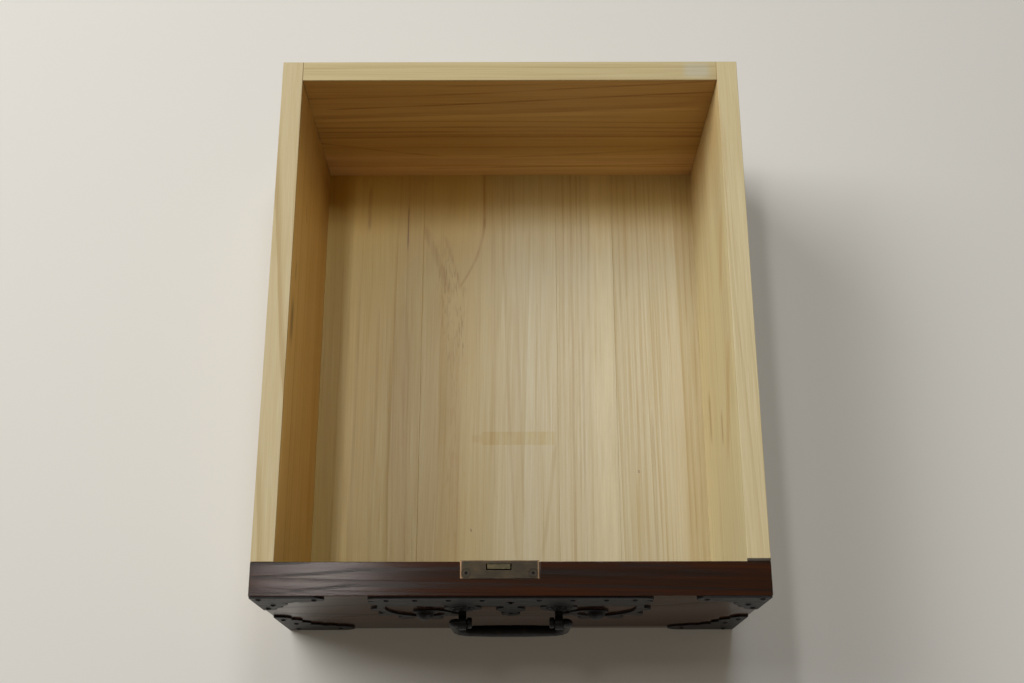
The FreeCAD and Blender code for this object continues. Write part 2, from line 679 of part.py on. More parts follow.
def bail_handle():
    """Drop handle: two pins with knobs, two arms and a grip that swells in the middle."""
    y, z = value_of(PIVOT_Y), value_of(PIVOT_Z)
    low, reach = z - size("handle_drop"), size("handle_half_width")
    grip, arm, pin = size("grip_half_length"), size("arm_radius"), size("pin_radius")
    swell = Part.Arc(V(-grip, y, low + arm), V(0, y, low + size("grip_radius")), V(grip, y, low + arm)).toShape()
    edges = [swell, Part.LineSegment(V(grip, y, low + arm), V(grip, y, low)).toShape(),
             Part.LineSegment(V(grip, y, low), V(-grip, y, low)).toShape(),
             Part.LineSegment(V(-grip, y, low), V(-grip, y, low + arm)).toShape()]
    bar = Part.Face(Part.Wire(edges)).revolve(V(0, y, low), V(1, 0, 0), 360)
    end_play = "post_width / 2 + eye_play"
    pin_end, shoulder = value_of(f"post_spread - ({end_play})"), value_of(f"post_spread + {end_play}")
    parts = []
    for side in (-1, 1):
        across = V(side, 0, 0)
        route = [V(side * shoulder, y, z), V(side * reach, y, z), V(side * (reach - 2), y, low),
                 V(side * grip, y, low)]
        parts.append(pipe(route, [arm * 1.2, arm * 3], arm))
        parts.append(Part.makeCylinder(pin, shoulder - pin_end, V(side * pin_end, y, z), across))
        knob = V(side * (pin_end - size("knob_length")), y, z)
        parts.append(Part.makeCylinder(size("knob_radius"), size("knob_length"), knob, across))
    return solid("bail_handle", bar.multiFuse(parts).removeSplitter())


# ---------------------------------------------------------------------- lock

LIP_SCREW_Y = f"({INSIDE} - selvage_screw)"
PLATE_SCREW_Z = f"({TOP} - plate_screw)"
# Name, direction and head of each screw of the lock.
SCREWS = (
    ("lip_screw_left", "down", (f"{LOCK_LEFT} + screw_inset", LIP_SCREW_Y, LIP_TOP)),
    ("lip_screw_right", "down", (f"{LOCK_RIGHT} - screw_inset", LIP_SCREW_Y, LIP_TOP)),
    ("plate_screw_left", "forwards", (f"{LOCK_LEFT} + screw_inset", LOCK_REAR, PLATE_SCREW_Z)),
    ("plate_screw_right", "forwards", (f"{LOCK_RIGHT} - screw_inset", LOCK_REAR, PLATE_SCREW_Z)),
)


def screw_shape(name, direction, head, play="0"):
    """Countersunk head and shank from a point; with play it is the hole for them."""
    shank = rod(f"{name}_shank", direction, f"screw_shank + {play}", "screw_length", *head)
    cone = document.addObject("Part::Cone", f"{name}_cone")
    cone.Placement = FreeCAD.Placement(V(), TURNS[direction])
    bind(cone, Radius1=f"screw_head + {play}", Radius2=f"screw_shank + {play}", Height="screw_cone")
    return fuse(name, shank, place(cone, *head))


def cross_recess(name, direction, head):
    """Two crossing bars cut into a screw's head."""
    deep = 2 if direction == "down" else 1
    across = [axis for axis in range(3) if axis != deep]
    bars = []
    for along, width in (across, across[::-1]):
        spans = [None, None, None]
        spans[deep] = (f"{head[deep]} - recess_depth", head[deep])
        spans[along] = (f"{head[along]} - recess_length / 2", f"{head[along]} + recess_length / 2")
        spans[width] = (f"{head[width]} - recess_width / 2", f"{head[width]} + recess_width / 2")
        bars.append(block(f"{name}_bar_{along}", *spans))
    return fuse(name, *bars)


def lock_screws():
    """The four countersunk screws of the lock."""
    screws = []
    for name, direction, head in SCREWS:
        recess = cross_recess(f"{name}_recess", direction, head)
        screws.append(cut(f"{name}_cut", screw_shape(name, direction, head), recess))
    return group("lock_screws", screws)


def lock_rivets():
    """Three rivets that hold the case to the brass plate."""
    places = ((f"{CASE_RIGHT} - rivet_inset", f"{LIP_UNDER} - rivet_inset * 2"),
              (f"{CASE_RIGHT} - rivet_inset", f"{CASE_FOOT} + rivet_inset"),
              (f"{CASE_LEFT} + rivet_inset", f"{CASE_FOOT} + rivet_inset"))
    length = f"{LOCK_REAR} - ({CASE_FRONT})"
    rivets, holes = [], []
    for index, (x, z) in enumerate(places):
        rivets.append(rod(f"rivet_{index}", "forwards", "rivet_radius", length, x, LOCK_REAR, z))
        holes.append(rod(f"rivet_hole_{index}", "forwards", "rivet_radius + drill_play", length, x, LOCK_REAR, z))
    return group("lock_rivets", rivets), group("rivet_holes", holes)


def pins():
    """Pin that the key turns on and pin that guides the bolt, with their drilled holes."""
    guide_length = f"{LOCK_REAR} - {BOLT_FACE} + 1"
    key = rod("key_pin", "forwards", "key_pin_radius", "key_pin_length", "0", LOCK_REAR, KEY_Z)
    guide = rod("guide_pin", "forwards", "guide_radius", guide_length, GUIDE_X, LOCK_REAR, GUIDE_Z)
    holes = [rod("key_pin_hole", "forwards", "key_pin_radius + drill_play", "lock_sheet", "0", LOCK_REAR, KEY_Z),
             rod("guide_pin_hole", "forwards", "guide_radius + drill_play", "lock_sheet", GUIDE_X, LOCK_REAR,
                 GUIDE_Z)]
    return key, guide, group("pin_holes", holes)


def lock_plate(screw_holes, rivet_holes, pin_holes):
    """Brass plate on the inner face with a lip over the top edge, slotted for the bolt."""
    lip = block("lock_lip", (LOCK_LEFT, LOCK_RIGHT), (f"{LOCK_REAR} - selvage_depth", LOCK_REAR),
                (LIP_UNDER, LIP_TOP))
    back = block("lock_back", (LOCK_LEFT, LOCK_RIGHT), (LOCK_FACE, LOCK_REAR), (f"{TOP} - lock_height", LIP_TOP))
    slot = block("bolt_slot", (f"{BOLT_LEFT} - bolt_play", f"{BOLT_RIGHT} + bolt_play"),
                 (f"{BOLT_FACE} - bolt_play", f"{BOLT_REAR} + drill_play * 2"), (LIP_UNDER, LIP_TOP))
    return cut_each("lock_plate", fuse("lock_sheet_metal", lip, back), [slot, screw_holes, rivet_holes, pin_holes])


def lock_case(rivet_holes):
    """Sheet case in the mortise, open to the brass plate and its lip, with a keyhole in front."""
    shell = block("case_block", (CASE_LEFT, CASE_RIGHT), (CASE_FRONT, LOCK_FACE), (CASE_FOOT, LIP_UNDER))
    room = block("case_room", (f"{CASE_LEFT} + case_wall", f"{CASE_RIGHT} - case_wall"),
                 (f"{CASE_FRONT} + case_wall", LOCK_FACE), (f"{CASE_FOOT} + case_wall", LIP_UNDER))
    hole = rod("case_keyhole", "backwards", "keyhole_radius", "case_wall", "0", CASE_FRONT, KEY_Z)
    slot = block("case_keyhole_slot", ("-keyhole_slot / 2", "keyhole_slot / 2"),
                 (CASE_FRONT, f"{CASE_FRONT} + case_wall"), (f"{KEY_Z} - keyhole_reach", KEY_Z))
    return cut_each("lock_case", shell, [room, hole, slot, rivet_holes])


def lock_bolt():
    """Bolt with a broad head, a tail with the key's notch, and a slot for the guide pin."""
    end = f"({LIP_TOP} - bolt_sink)"
    thickness = (BOLT_FACE, BOLT_REAR)
    head = block("bolt_head", (BOLT_LEFT, BOLT_RIGHT), thickness, (f"{end} - bolt_neck", end))
    tail_block = block("bolt_tail_block", (BOLT_LEFT, TAIL_RIGHT), thickness, (f"{end} - bolt_length", end))
    talon = block("bolt_talon", (f"{TAIL_RIGHT} - talon_depth", TAIL_RIGHT), thickness,
                  (f"{KEY_Z} - talon_height / 2", f"{KEY_Z} + talon_height / 2"))
    radius = "(guide_radius + guide_play)"
    low = f"({GUIDE_Z} - bolt_throw)"
    slot = fuse("bolt_guide_slot",
                block("bolt_slot_run", (f"{GUIDE_X} - {radius}", f"{GUIDE_X} + {radius}"), thickness, (low, GUIDE_Z)),
                rod("bolt_slot_foot", "backwards", radius, "bolt_thickness", GUIDE_X, BOLT_FACE, low),
                rod("bolt_slot_top", "backwards", radius, "bolt_thickness", GUIDE_X, BOLT_FACE, GUIDE_Z))
    return cut_each("lock_bolt", fuse("bolt_whole", head, tail_block), [talon, slot])


def bolt_spring():
    """Leaf spring on the bolt's edge that rubs on the wall of the case."""
    sheet_metal, tab = size("spring_sheet"), size("spring_tab")
    root, wall = value_of(BOLT_LEFT), value_of(f"{CASE_LEFT} + case_wall + spring_play")
    foot = value_of(f"{LIP_TOP} - bolt_sink - bolt_length")
    low, high = foot + 1, foot + 1 + size("spring_rise")
    near, far = value_of(f"{BOLT_FACE} + spring_play"), value_of(f"{BOLT_REAR} - spring_play")

    def leaf(offset):
        start, tip = V(root - offset, near, low + tab), V(wall + sheet_metal - offset, near, high)
        bow = (start + tip) / 2 + V(-1.6, 0, -1.6)
        return Part.Arc(start, bow, tip).toShape()

    inner, outer = leaf(0), leaf(sheet_metal)
    ends = [Part.LineSegment(inner.Vertexes[index].Point, outer.Vertexes[index].Point).toShape() for index in (0, 1)]
    strip = Part.Face(Part.Wire([inner, ends[1], outer, ends[0]])).extrude(V(0, far - near, 0))
    flat = Part.makeBox(sheet_metal, far - near, tab, V(root - sheet_metal, near, low))
    return solid("bolt_spring", strip.fuse(flat).removeSplitter())


# ------------------------------------------------------------------ assembly

def ironwork():
    """Corner irons, centre plate, nails and studs, with the shanks that the board makes room for."""
    corners = [CornerIron(f"corner_iron_{level_name}_{side_name}", side, level)
               for level_name, level in (("top", 1), ("bottom", -1))
               for side_name, side in (("left", -1), ("right", 1))]
    plate = CentrePlate()
    nail_places = plate.nail_places()
    for corner in corners:
        nail_places += corner.nail_places()
    stud_places = [plate.stud_place(side) for side in (-1, 1)]
    shank, length = size("nail_shank"), size("nail_length")
    stud, stud_length = size("stud_shank"), size("stud_length")
    shanks = Part.makeCompound([square_shank(at.x, at.z, shank, length) for at in nail_places]
                               + [square_shank(at.x, at.z, stud, stud_length) for at in stud_places])
    nails = solid("iron_nails", Part.makeCompound([nail_at(at.x, at.z) for at in nail_places]))
    studs = solid("domed_studs", Part.makeCompound(
        [domed_nail(at.x, at.z, size("stud_radius"), size("stud_dome"), stud, stud_length) for at in stud_places]))
    irons = [solid(corner.name, sheet_iron([corner.face()], shanks)) for corner in corners]
    pierced = sheet_iron(plate.faces(), [shanks, *plate.keyhole()])
    return irons + [nails, studs], solid("centre_plate_sheet", pierced), solid("shank_holes", shanks)


def build():
    """Make every piece and return the finished ones."""
    floor_pegs, rear_pegs = floor_peg_group(), rear_peg_group()
    irons, plate_sheet, shanks = ironwork()
    holes = {side: post_hole(side) for side in (-1, 1)}
    screw_holes = group("screw_holes", [screw_shape(f"{name}_hole", direction, head, "drill_play")
                                        for name, direction, head in SCREWS])
    rivets, rivet_holes = lock_rivets()
    key_pin, guide_pin, pin_holes = pins()
    pieces = [
        front_board(floor_pegs, [shanks, holes[-1], holes[1], screw_holes]),
        side_board("left_side", -1, [floor_pegs, rear_pegs]),
        side_board("right_side", 1, [floor_pegs, rear_pegs]),
        back_board([floor_pegs, rear_pegs]),
        *floor_boards(floor_pegs),
        floor_pegs,
        rear_pegs,
        *irons,
        cut_each("centre_plate", plate_sheet, list(holes.values())),
        bail_handle(),
        lock_plate(screw_holes, rivet_holes, pin_holes),
        lock_case(rivet_holes),
        rivets,
        lock_bolt(),
        bolt_spring(),
        key_pin,
        guide_pin,
        lock_screws(),
    ]
    for side_name, side in (("left", -1), ("right", 1)):
        pieces.append(handle_post(f"handle_post_{side_name}", side))
        pieces.append(rosette(f"handle_rosette_{side_name}", side, holes[side]))
        pieces.append(post_washer(f"post_washer_{side_name}", side, holes[side]))
    return pieces


def export(pieces):
    """Check every object and write each piece to its own file."""
    document.recompute()
    for item in document.Objects:
        if "Invalid" in item.State or "Error" in item.State:
            raise RuntimeError(f"{item.Label} did not compute: {item.State}")
    os.makedirs("parts", exist_ok=True)
    for piece in pieces:
        if piece.Shape.isNull() or not piece.Shape.isValid() or not piece.Shape.Solids:
            raise RuntimeError(f"{piece.Label} has no valid solid")
        piece.Shape.exportStep(f"parts/{piece.Label}.step")
        print(f"{piece.Label}: {len(piece.Shape.Solids)} solids, {piece.Shape.Volume:.1f} mm3")


export(build())
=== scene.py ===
"""Visual model of a tansu drawer: an open wooden box with a lacquered front, black ironwork and a lock."""

import json
import logging
import math
import random
from collections.abc import Callable, Iterable, Sequence
from dataclasses import dataclass, field, replace
from enum import Enum

import bmesh
import bpy
from mathutils import Euler, Matrix, Vector, geometry


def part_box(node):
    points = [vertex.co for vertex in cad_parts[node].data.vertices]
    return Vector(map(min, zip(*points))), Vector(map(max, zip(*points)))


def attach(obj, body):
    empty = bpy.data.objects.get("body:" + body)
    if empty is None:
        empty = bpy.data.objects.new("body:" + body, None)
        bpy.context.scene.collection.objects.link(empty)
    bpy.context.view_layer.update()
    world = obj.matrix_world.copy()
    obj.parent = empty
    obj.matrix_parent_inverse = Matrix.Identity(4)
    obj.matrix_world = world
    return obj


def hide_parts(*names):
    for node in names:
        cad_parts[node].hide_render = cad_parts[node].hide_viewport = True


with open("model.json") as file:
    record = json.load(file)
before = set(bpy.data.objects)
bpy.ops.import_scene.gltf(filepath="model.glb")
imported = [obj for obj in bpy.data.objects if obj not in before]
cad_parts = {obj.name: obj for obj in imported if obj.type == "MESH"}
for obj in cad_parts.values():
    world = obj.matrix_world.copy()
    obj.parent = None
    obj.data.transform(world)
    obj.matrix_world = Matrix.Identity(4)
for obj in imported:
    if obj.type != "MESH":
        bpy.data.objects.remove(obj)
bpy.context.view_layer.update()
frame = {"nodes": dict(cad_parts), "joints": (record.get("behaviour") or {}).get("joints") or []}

log = logging.getLogger("drawer")

MM = 0.001
Socket = bpy.types.NodeSocket
Value = float | Sequence[float] | Socket
Colour = tuple[float, float, float]


class Body(Enum):
    """Bodies of the model that pieces ride on."""

    BOX = "drawer_box"
    HANDLE = "handle"
    BOLT = "bolt"


class Slot(Enum):
    """Material slots of the record."""

    LACQUER = "keyaki_lacquered"
    SIDES = "kiri_sides"
    FLOOR = "kiri_floor"
    IRON = "black_iron"
    BRASS = "aged_brass"
    STEEL = "lock_steel"


class Axis(Enum):
    """Axes of the row frame, by their place in a vector."""

    X = 0
    Y = 1
    Z = 2


# ------------------------------------------------------------------ materials

class Nodes:
    """Node tree, with shorthand for the nodes that the finishes and the sky are made of."""

    def __init__(self, tree: bpy.types.NodeTree) -> None:
        """Work on a tree."""
        self.tree = tree

    def feed(self, socket: Socket, value: Value) -> None:
        """Link a socket to another, or set its plain value."""
        if isinstance(value, bpy.types.NodeSocket):
            self.tree.links.new(value, socket)
        elif socket.type == "RGBA" and len(value) == 3:
            socket.default_value = (*value, 1.0)
        else:
            socket.default_value = value

    def add(self, kind: str, inputs: dict[str | int, Value] | None = None, **settings: object) -> bpy.types.Node:
        """Add a node.

        Args:
            kind: Blender's name of the node's type.
            inputs: Values or sockets by input name or number.
            settings: Properties of the node.

        Returns:
            The new node.
        """
        node = self.tree.nodes.new(kind)
        for key, value in settings.items():
            setattr(node, key, value)
        for key, value in (inputs or {}).items():
            self.feed(node.inputs[key], value)
        return node

    def math(self, operation: str, a: Value, b: Value = 0.0, clamp: bool = False) -> Socket:
        """Result of a Math node."""
        return self.add("ShaderNodeMath", {0: a, 1: b}, operation=operation, use_clamp=clamp).outputs[0]

    def ease(self, value: Value, low: float, high: float, start: float = 0.0, end: float = 1.0) -> Socket:
        """Value carried smoothly from a range to another, and held outside it."""
        inputs = {"Value": value, "From Min": low, "From Max": high, "To Min": start, "To Max": end}
        return self.add("ShaderNodeMapRange", inputs, interpolation_type="SMOOTHSTEP").outputs["Result"]

    def split(self, vector: Socket) -> list[Socket]:
        """X, Y and Z of a vector."""
        return list(self.add("ShaderNodeSeparateXYZ", {0: vector}).outputs)

    def joined(self, x: Value = 0.0, y: Value = 0.0, z: Value = 0.0) -> Socket:
        """Vector of X, Y and Z."""
        return self.add("ShaderNodeCombineXYZ", {0: x, 1: y, 2: z}).outputs[0]

    def shifted(self, vector: Socket, offset: Value) -> Socket:
        """Vector plus an offset."""
        return self.add("ShaderNodeVectorMath", {0: vector, 1: offset}, operation="ADD").outputs[0]

    def scaled(self, vector: Socket, factors: Sequence[float]) -> Socket:
        """Vector times a factor along each axis."""
        return self.add("ShaderNodeVectorMath", {0: vector, 1: factors}, operation="MULTIPLY").outputs[0]

    def moved(self, vector: Socket, place: Sequence[float], turn: Sequence[float]) -> Socket:
        """Point seen from a frame at a place, turned by degrees about X, Y and Z."""
        inputs = {"Vector": vector, "Location": place, "Rotation": [math.radians(angle) for angle in turn]}
        return self.add("ShaderNodeMapping", inputs, vector_type="TEXTURE").outputs[0]

    def noise(self, vector: Socket, size: float, detail: float = 2.0, rough: float = 0.5) -> Socket:
        """Noise about 0, mostly within half either way, with features of a size."""
        inputs = {"Vector": vector, "Scale": 1 / size, "Detail": detail, "Roughness": rough}
        value = self.add("ShaderNodeTexNoise", inputs).outputs["Fac"]
        return self.product(self.math("SUBTRACT", value, 0.5), 2.0)

    def fibre(self, vector: Socket, stretch: float, size: float, detail: float = 2.0, rough: float = 0.5) -> Socket:
        """Noise drawn out along Y, where its features are 1 / stretch times longer than their size."""
        return self.noise(self.scaled(vector, (1, stretch, 1)), size, detail, rough)

    def mix(self, factor: Value, a: Value, b: Value, blend: str = "MIX") -> Socket:
        """Colour between two, or blended from them."""
        node = self.add("ShaderNodeMix", {0: factor, 6: a, 7: b}, data_type="RGBA", blend_type=blend)
        return node.outputs[2]

    def product(self, first: Value, *others: Value) -> Socket:
        """Product of values."""
        for other in others:
            first = self.math("MULTIPLY", first, other)
        return first

    def total(self, *terms: tuple[Value, float] | Value) -> Socket:
        """Sum of values, each alone or paired with its weight."""
        result: Value = 0.0
        for term in terms:
            value = self.product(*term) if isinstance(term, tuple) else term
            result = self.math("ADD", result, value)
        return result

    def near(self, value: Socket, middle: float, half: float, soft: float) -> Socket:
        """1 within half of a middle value, and 0 beyond it by soft."""
        away = self.math("ABSOLUTE", self.math("SUBTRACT", value, middle))
        return self.ease(away, half, half + soft, 1.0, 0.0)


class Shader(Nodes):
    """One material's nodes round a Principled shader, with lengths in millimetres."""

    def __init__(self, name: str, **surface: float | Colour) -> None:
        """Start a material.

        Args:
            name: Name of the material.
            surface: Plain values of the Principled shader's inputs, with _ for a space.
        """
        self.material = bpy.data.materials.new(name)
        self.material.use_nodes = True
        super().__init__(self.material.node_tree)
        self.surface = self.tree.nodes["Principled BSDF"]
        for key, value in surface.items():
            self.feed(self.surface.inputs[key.replace("_", " ")], value)
        raw = self.add("ShaderNodeTexCoord").outputs["Object"]
        self.point = self.add("ShaderNodeVectorMath", {0: raw, "Scale": 1 / MM}, operation="SCALE").outputs[0]

    def relief(self, height: Socket, depth: float) -> None:
        """Bump the surface by a height, in millimetres for a height of 1."""
        bump = self.add("ShaderNodeBump", {"Strength": 1.0, "Distance": depth * MM, "Height": height})
        self.feed(self.surface.inputs["Normal"], bump.outputs[0])

    def paint(self, socket: str, value: Value) -> None:
        """Set or link one input of the Principled shader."""
        self.feed(self.surface.inputs[socket], value)


@dataclass(frozen=True)
class Log:
    """How a board was sawn: its heart's line and the growth rings about it.

    The heart runs along Y of a frame at heart, turned by turn degrees. Lengths are in millimetres.
    """

    heart: tuple[float, float, float]
    turn: tuple[float, float, float]
    ring: float
    wander: float
    seed: float

    def frame(self, shader: Shader) -> Socket:
        """Point of the log, with Y along its heart."""
        return shader.moved(shader.point, self.heart, self.turn)

    def rings(self, shader: Shader, point: Socket) -> tuple[Socket, Socket]:
        """Growth rings.

        Args:
            shader: Material that they are for.
            point: Point of the log, from frame.

        Returns:
            Place within a ring from 0 to 1, and a fixed random value of that ring.
        """
        x, _, z = shader.split(point)
        length = shader.add("ShaderNodeVectorMath", {0: shader.joined(x, z=z)}, operation="LENGTH").outputs["Value"]
        moved = shader.shifted(point, (self.seed, self.seed * 7, 0))
        slow = shader.fibre(moved, 0.12, 50, 1)
        quick = shader.fibre(moved, 0.05, 9, 2)
        radius = shader.total(length, (slow, self.wander), (quick, 0.5))
        pace = shader.noise(shader.joined(radius, self.seed), self.ring * 2.5, 2)
        count = shader.total((radius, 1 / self.ring), (pace, 1.1))
        whole = shader.math("FLOOR", count)
        chance = shader.add("ShaderNodeTexWhiteNoise", {"W": shader.math("ADD", whole, self.seed + 0.37)},
                            noise_dimensions="1D").outputs["Value"]
        return shader.math("FRACT", count), chance


@dataclass(frozen=True)
class Stroke:
    """Mark on a board: where it is along two or three axes, how far it goes and how softly it ends.

    Its first axis is across the mark and its second along it. Lengths are in millimetres.
    """

    axes: tuple[Axis, ...]
    middle: tuple[float, ...]
    half: tuple[float, ...]
    soft: tuple[float, ...]
    tone: Colour
    strength: float = 1.0
    lean: float = 0.0
    bow: float = 0.0
    fleck: float = 0.0
    blend: str = "MIX"

    @classmethod
    def through(cls, axes: tuple[Axis, Axis], points: Sequence[tuple[float, float]], thick: float, soft: float,
                tone: Colour, strength: float, fade: float) -> "Stroke":
        """Mark along a line or a parabola.

        Args:
            axes: Axis across the mark and axis along it.
            points: Two or three points of it, each as its place across and along.
            thick: Half of its thickness.
            soft: How far it fades to each side.
            tone: Its colour.
            strength: How strongly it covers.
            fade: How far it fades at each end.

        Returns:
            The mark.
        """
        (x0, y0), *between, (x1, y1) = points
        middle, half = (y0 + y1) / 2, (y1 - y0) / 2
        lean = (x1 - x0) / (2 * half)
        bow = 0.0
        if between:
            x, y = between[0]
            straight = x0 + lean * (y - y0)
            bow = (x - straight) / ((y - y0) * (y - y1))
        across = (x0 + x1) / 2 - bow * half * half
        return cls(axes, (across, middle), (thick, abs(half)), (soft, fade), tone, strength, lean, bow)

    def mask(self, shader: Shader) -> Socket:
        """Where the mark is, from 0 to its strength."""
        parts = shader.split(shader.point)
        ways = [parts[axis.value] for axis in self.axes]
        if self.lean or self.bow:
            offset = shader.math("SUBTRACT", ways[1], self.middle[1])
            square = shader.math("POWER", offset, 2.0)
            ways[0] = shader.total(ways[0], (offset, -self.lean), (square, -self.bow))
        mask: Value = self.strength
        for way, middle, half, soft in zip(ways, self.middle, self.half, self.soft):
            mask = shader.product(mask, shader.near(way, middle, half, soft))
        if self.fleck:
            flecks = shader.fibre(shader.point, 0.12, self.fleck, 2)
            mask = shader.product(mask, shader.ease(flecks, -0.05, 0.40))
        return mask

    def lay(self, shader: Shader, colour: Value, share: Value = 1.0) -> Socket:
        """Colour with a share of the mark laid over it."""
        mask = self.mask(shader)
        mask = mask if share == 1.0 else shader.product(mask, share)
        return shader.mix(mask, colour, self.tone, self.blend)


@dataclass(frozen=True)
class Halo:
    """Ring of painted shade round a screw or a peg, or a disc of it in a screw's recess, about a line along the third
    axis. Lengths are in millimetres.
    """

    axes: tuple[Axis, Axis]
    middle: tuple[float, float]
    radius: float
    half: float
    soft: float
    tone: Colour
    strength: float = 1.0

    def lay(self, shader: Shader, colour: Value) -> Socket:
        """Colour with the ring laid over it."""
        parts = shader.split(shader.point)
        sides = [shader.math("SUBTRACT", parts[axis.value], middle) for axis, middle in zip(self.axes, self.middle)]
        away = shader.math("SQRT", shader.total(*(shader.product(side, side) for side in sides)))
        mask = shader.product(shader.near(away, self.radius, self.half, self.soft), self.strength)
        return shader.mix(mask, colour, self.tone)


@dataclass(frozen=True)
class PlanedKiri:
    """Bare paulownia off the plane: pale, with thin brown lines in loose bands and fine pores.

    The marks are broken up and sway with the grain; the stains and the painted light and shade don't. Sizes are in
    millimetres, across the grain.
    """

    log: Log
    pale: Colour
    deep: Colour
    figure: float
    rough: float
    marks: tuple[Stroke, ...]
    stains_and_painted_light: tuple[Stroke, ...]
    line: Colour = (0.34, 0.215, 0.07)
    thread: float = 0.85
    streak: float = 2.6
    bundle: float = 13.0
    patch: float = 34.0
    pore: float = 0.5
    depth: float = 0.09

    def late_wood(self, shader: Shader, point: Socket) -> Socket:
        """Dark end of each growth ring, stronger in some rings than in others."""
        part, chance = self.log.rings(shader, point)
        vigour = shader.math("POWER", shader.ease(chance, 0.0, 1.0, 0.15, 1.0), 2.0)
        return shader.product(shader.ease(part, 0.62, 0.94), shader.ease(part, 0.94, 1.0, 1.0, 0.0), vigour)

    def marked(self, shader: Shader, point: Socket, drift: Socket, colour: Socket) -> Socket:
        """Lay the marks, and the stains and the painted light and shade, over the wood.

        Args:
            shader: Material that they are for.
            point: Point of the log.
            drift: How far the grain sways there.
            colour: The wood's own colour.

        Returns:
            The colour of the board.
        """
        still = shader.point
        shudder = shader.noise(shader.scaled(point, (0.2, 0.06, 0.2)), 6, 1)
        aside = shader.total((drift, 3.4), (shudder, 0.7))
        shader.point = shader.shifted(still, shader.joined(aside, z=aside))
        broken = shader.ease(shader.noise(shader.scaled(point, (0.4, 0.035, 0.4)), 3, 3, 0.6), -0.35, 0.30, 0.35, 1.0)
        for mark in self.marks:
            colour = mark.lay(shader, colour, broken)
        shader.point = still
        # Stains, and washes of painted light and shade, laid flat without the grain's sway.
        for stain_and_painted_light in self.stains_and_painted_light:
            colour = stain_and_painted_light.lay(shader, colour)
        return colour

    def material(self, name: str) -> bpy.types.Material:
        """Make the finish.

        Args:
            name: Name of the material.

        Returns:
            The material.
        """
        shader = Shader(name, Specular_IOR_Level=0.5)
        point = self.log.frame(shader)
        late = self.late_wood(shader, point)
        drift = shader.noise(shader.scaled(point, (0.5, 0.04, 0.5)), 18, 1)
        grain = shader.shifted(point, shader.joined(shader.product(drift, 3.0)))
        thread = shader.fibre(grain, 0.008, self.thread, 2, 0.55)
        streak = shader.fibre(grain, 0.010, self.streak, 3, 0.6)
        bundle = shader.fibre(grain, 0.010, self.bundle, 2)
        broad = shader.fibre(point, 0.08, self.patch, 2)
        lines = shader.product(shader.ease(streak, 0.02, 0.42), shader.ease(bundle, -0.35, 0.35, 0.25, 1.0))
        tone = shader.total(0.22, (late, 0.34 * self.figure), (thread, 0.46), (lines, 0.42), (bundle, 0.22),
                            (broad, 0.26))
        colour = shader.mix(shader.math("MULTIPLY", tone, 1.0, clamp=True), self.pale, self.deep)
        ridge = shader.product(shader.ease(late, 0.40, 1.0), 0.36 * self.figure)
        colour = shader.mix(ridge, colour, self.line)
        pore = shader.fibre(point, 0.05, self.pore, 1)
        pore = shader.product(shader.ease(pore, 0.30, 0.62), shader.ease(lines, 0.0, 0.8, 0.35, 1.0))
        colour = shader.mix(shader.product(pore, 0.40), colour, self.line)
        shader.paint("Base Color", self.marked(shader, point, drift, colour))
        shader.paint("Roughness", shader.total(self.rough, (thread, 0.10), (late, 0.08), (pore, 0.1)))
        shader.relief(shader.total((thread, 0.4), (late, 0.5), (pore, -0.8), (streak, 0.3)), self.depth)
        return shader.material


@dataclass(frozen=True)
class LacqueredKeyaki:
    """Zelkova under dark red-brown lacquer: bands of open pores show black, the rest is rubbed and glossy.

    Sizes are in millimetres, across the grain.
    """

    log: Log
    red: Colour = (0.046, 0.0125, 0.0040)
    brown: Colour = (0.018, 0.0078, 0.0040)
    pore: Colour = (0.0042, 0.0034, 0.0030)
    shine: float = 0.22
    marks: tuple[Stroke, ...] = ()
    patch: float = 16.0
    streak: float = 2.0
    dash: float = 0.75
    rough: float = 0.15
    depth: float = 0.03

    def material(self, name: str) -> bpy.types.Material:
        """Make the finish.

        Args:
            name: Name of the material.

        Returns:
            The material.
        """
        shader = Shader(name, Specular_IOR_Level=self.shine)
        point = self.log.frame(shader)
        part, chance = self.log.rings(shader, point)
        broad = shader.fibre(point, 0.05, self.patch, 2)
        streak = shader.fibre(point, 0.02, self.streak, 3, 0.6)
        dash = shader.fibre(point, 0.05, self.dash, 2)
        lines = shader.product(shader.ease(part, 0.0, 0.10), shader.ease(part, 0.22, 0.60, 1.0, 0.0),
                               shader.ease(chance, 0.25, 1.0, 0.1, 0.85))
        for mark in self.marks:
            lines = shader.math("MAXIMUM", lines, mark.mask(shader))
        open_pores = shader.product(lines, shader.ease(dash, -0.45, 0.10, 0.35, 1.0))
        colour = shader.mix(shader.ease(shader.total((broad, 0.8), (streak, 0.5)), -0.45, 0.45), self.red, self.brown)
        colour = shader.mix(shader.product(open_pores, 0.92), colour, self.pore)
        colour = shader.mix(shader.product(shader.ease(dash, 0.30, 0.55), 0.40), colour, self.pore)
        shader.paint("Base Color", colour)
        shader.paint("Roughness", shader.total(self.rough, (open_pores, 0.10), (broad, 0.03), (streak, 0.02)))
        shader.relief(shader.total((open_pores, -0.7), (streak, 0.55), (dash, 0.25), (broad, 0.5)), self.depth)
        return shader.material


@dataclass(frozen=True)
class WhittledPeg:
    """End of a hard wooden peg."""

    tone: Colour = (0.46, 0.31, 0.14)
    dark: Colour = (0.30, 0.18, 0.07)
    cell: float = 0.8

    def material(self, name: str) -> bpy.types.Material:
        """Make the finish under a name."""
        shader = Shader(name, Roughness=0.6)
        cloud = shader.noise(shader.point, self.cell, 3)
        shader.paint("Base Color", shader.mix(shader.total(0.5, cloud), self.tone, self.dark))
        shader.relief(cloud, 0.05)
        return shader.material


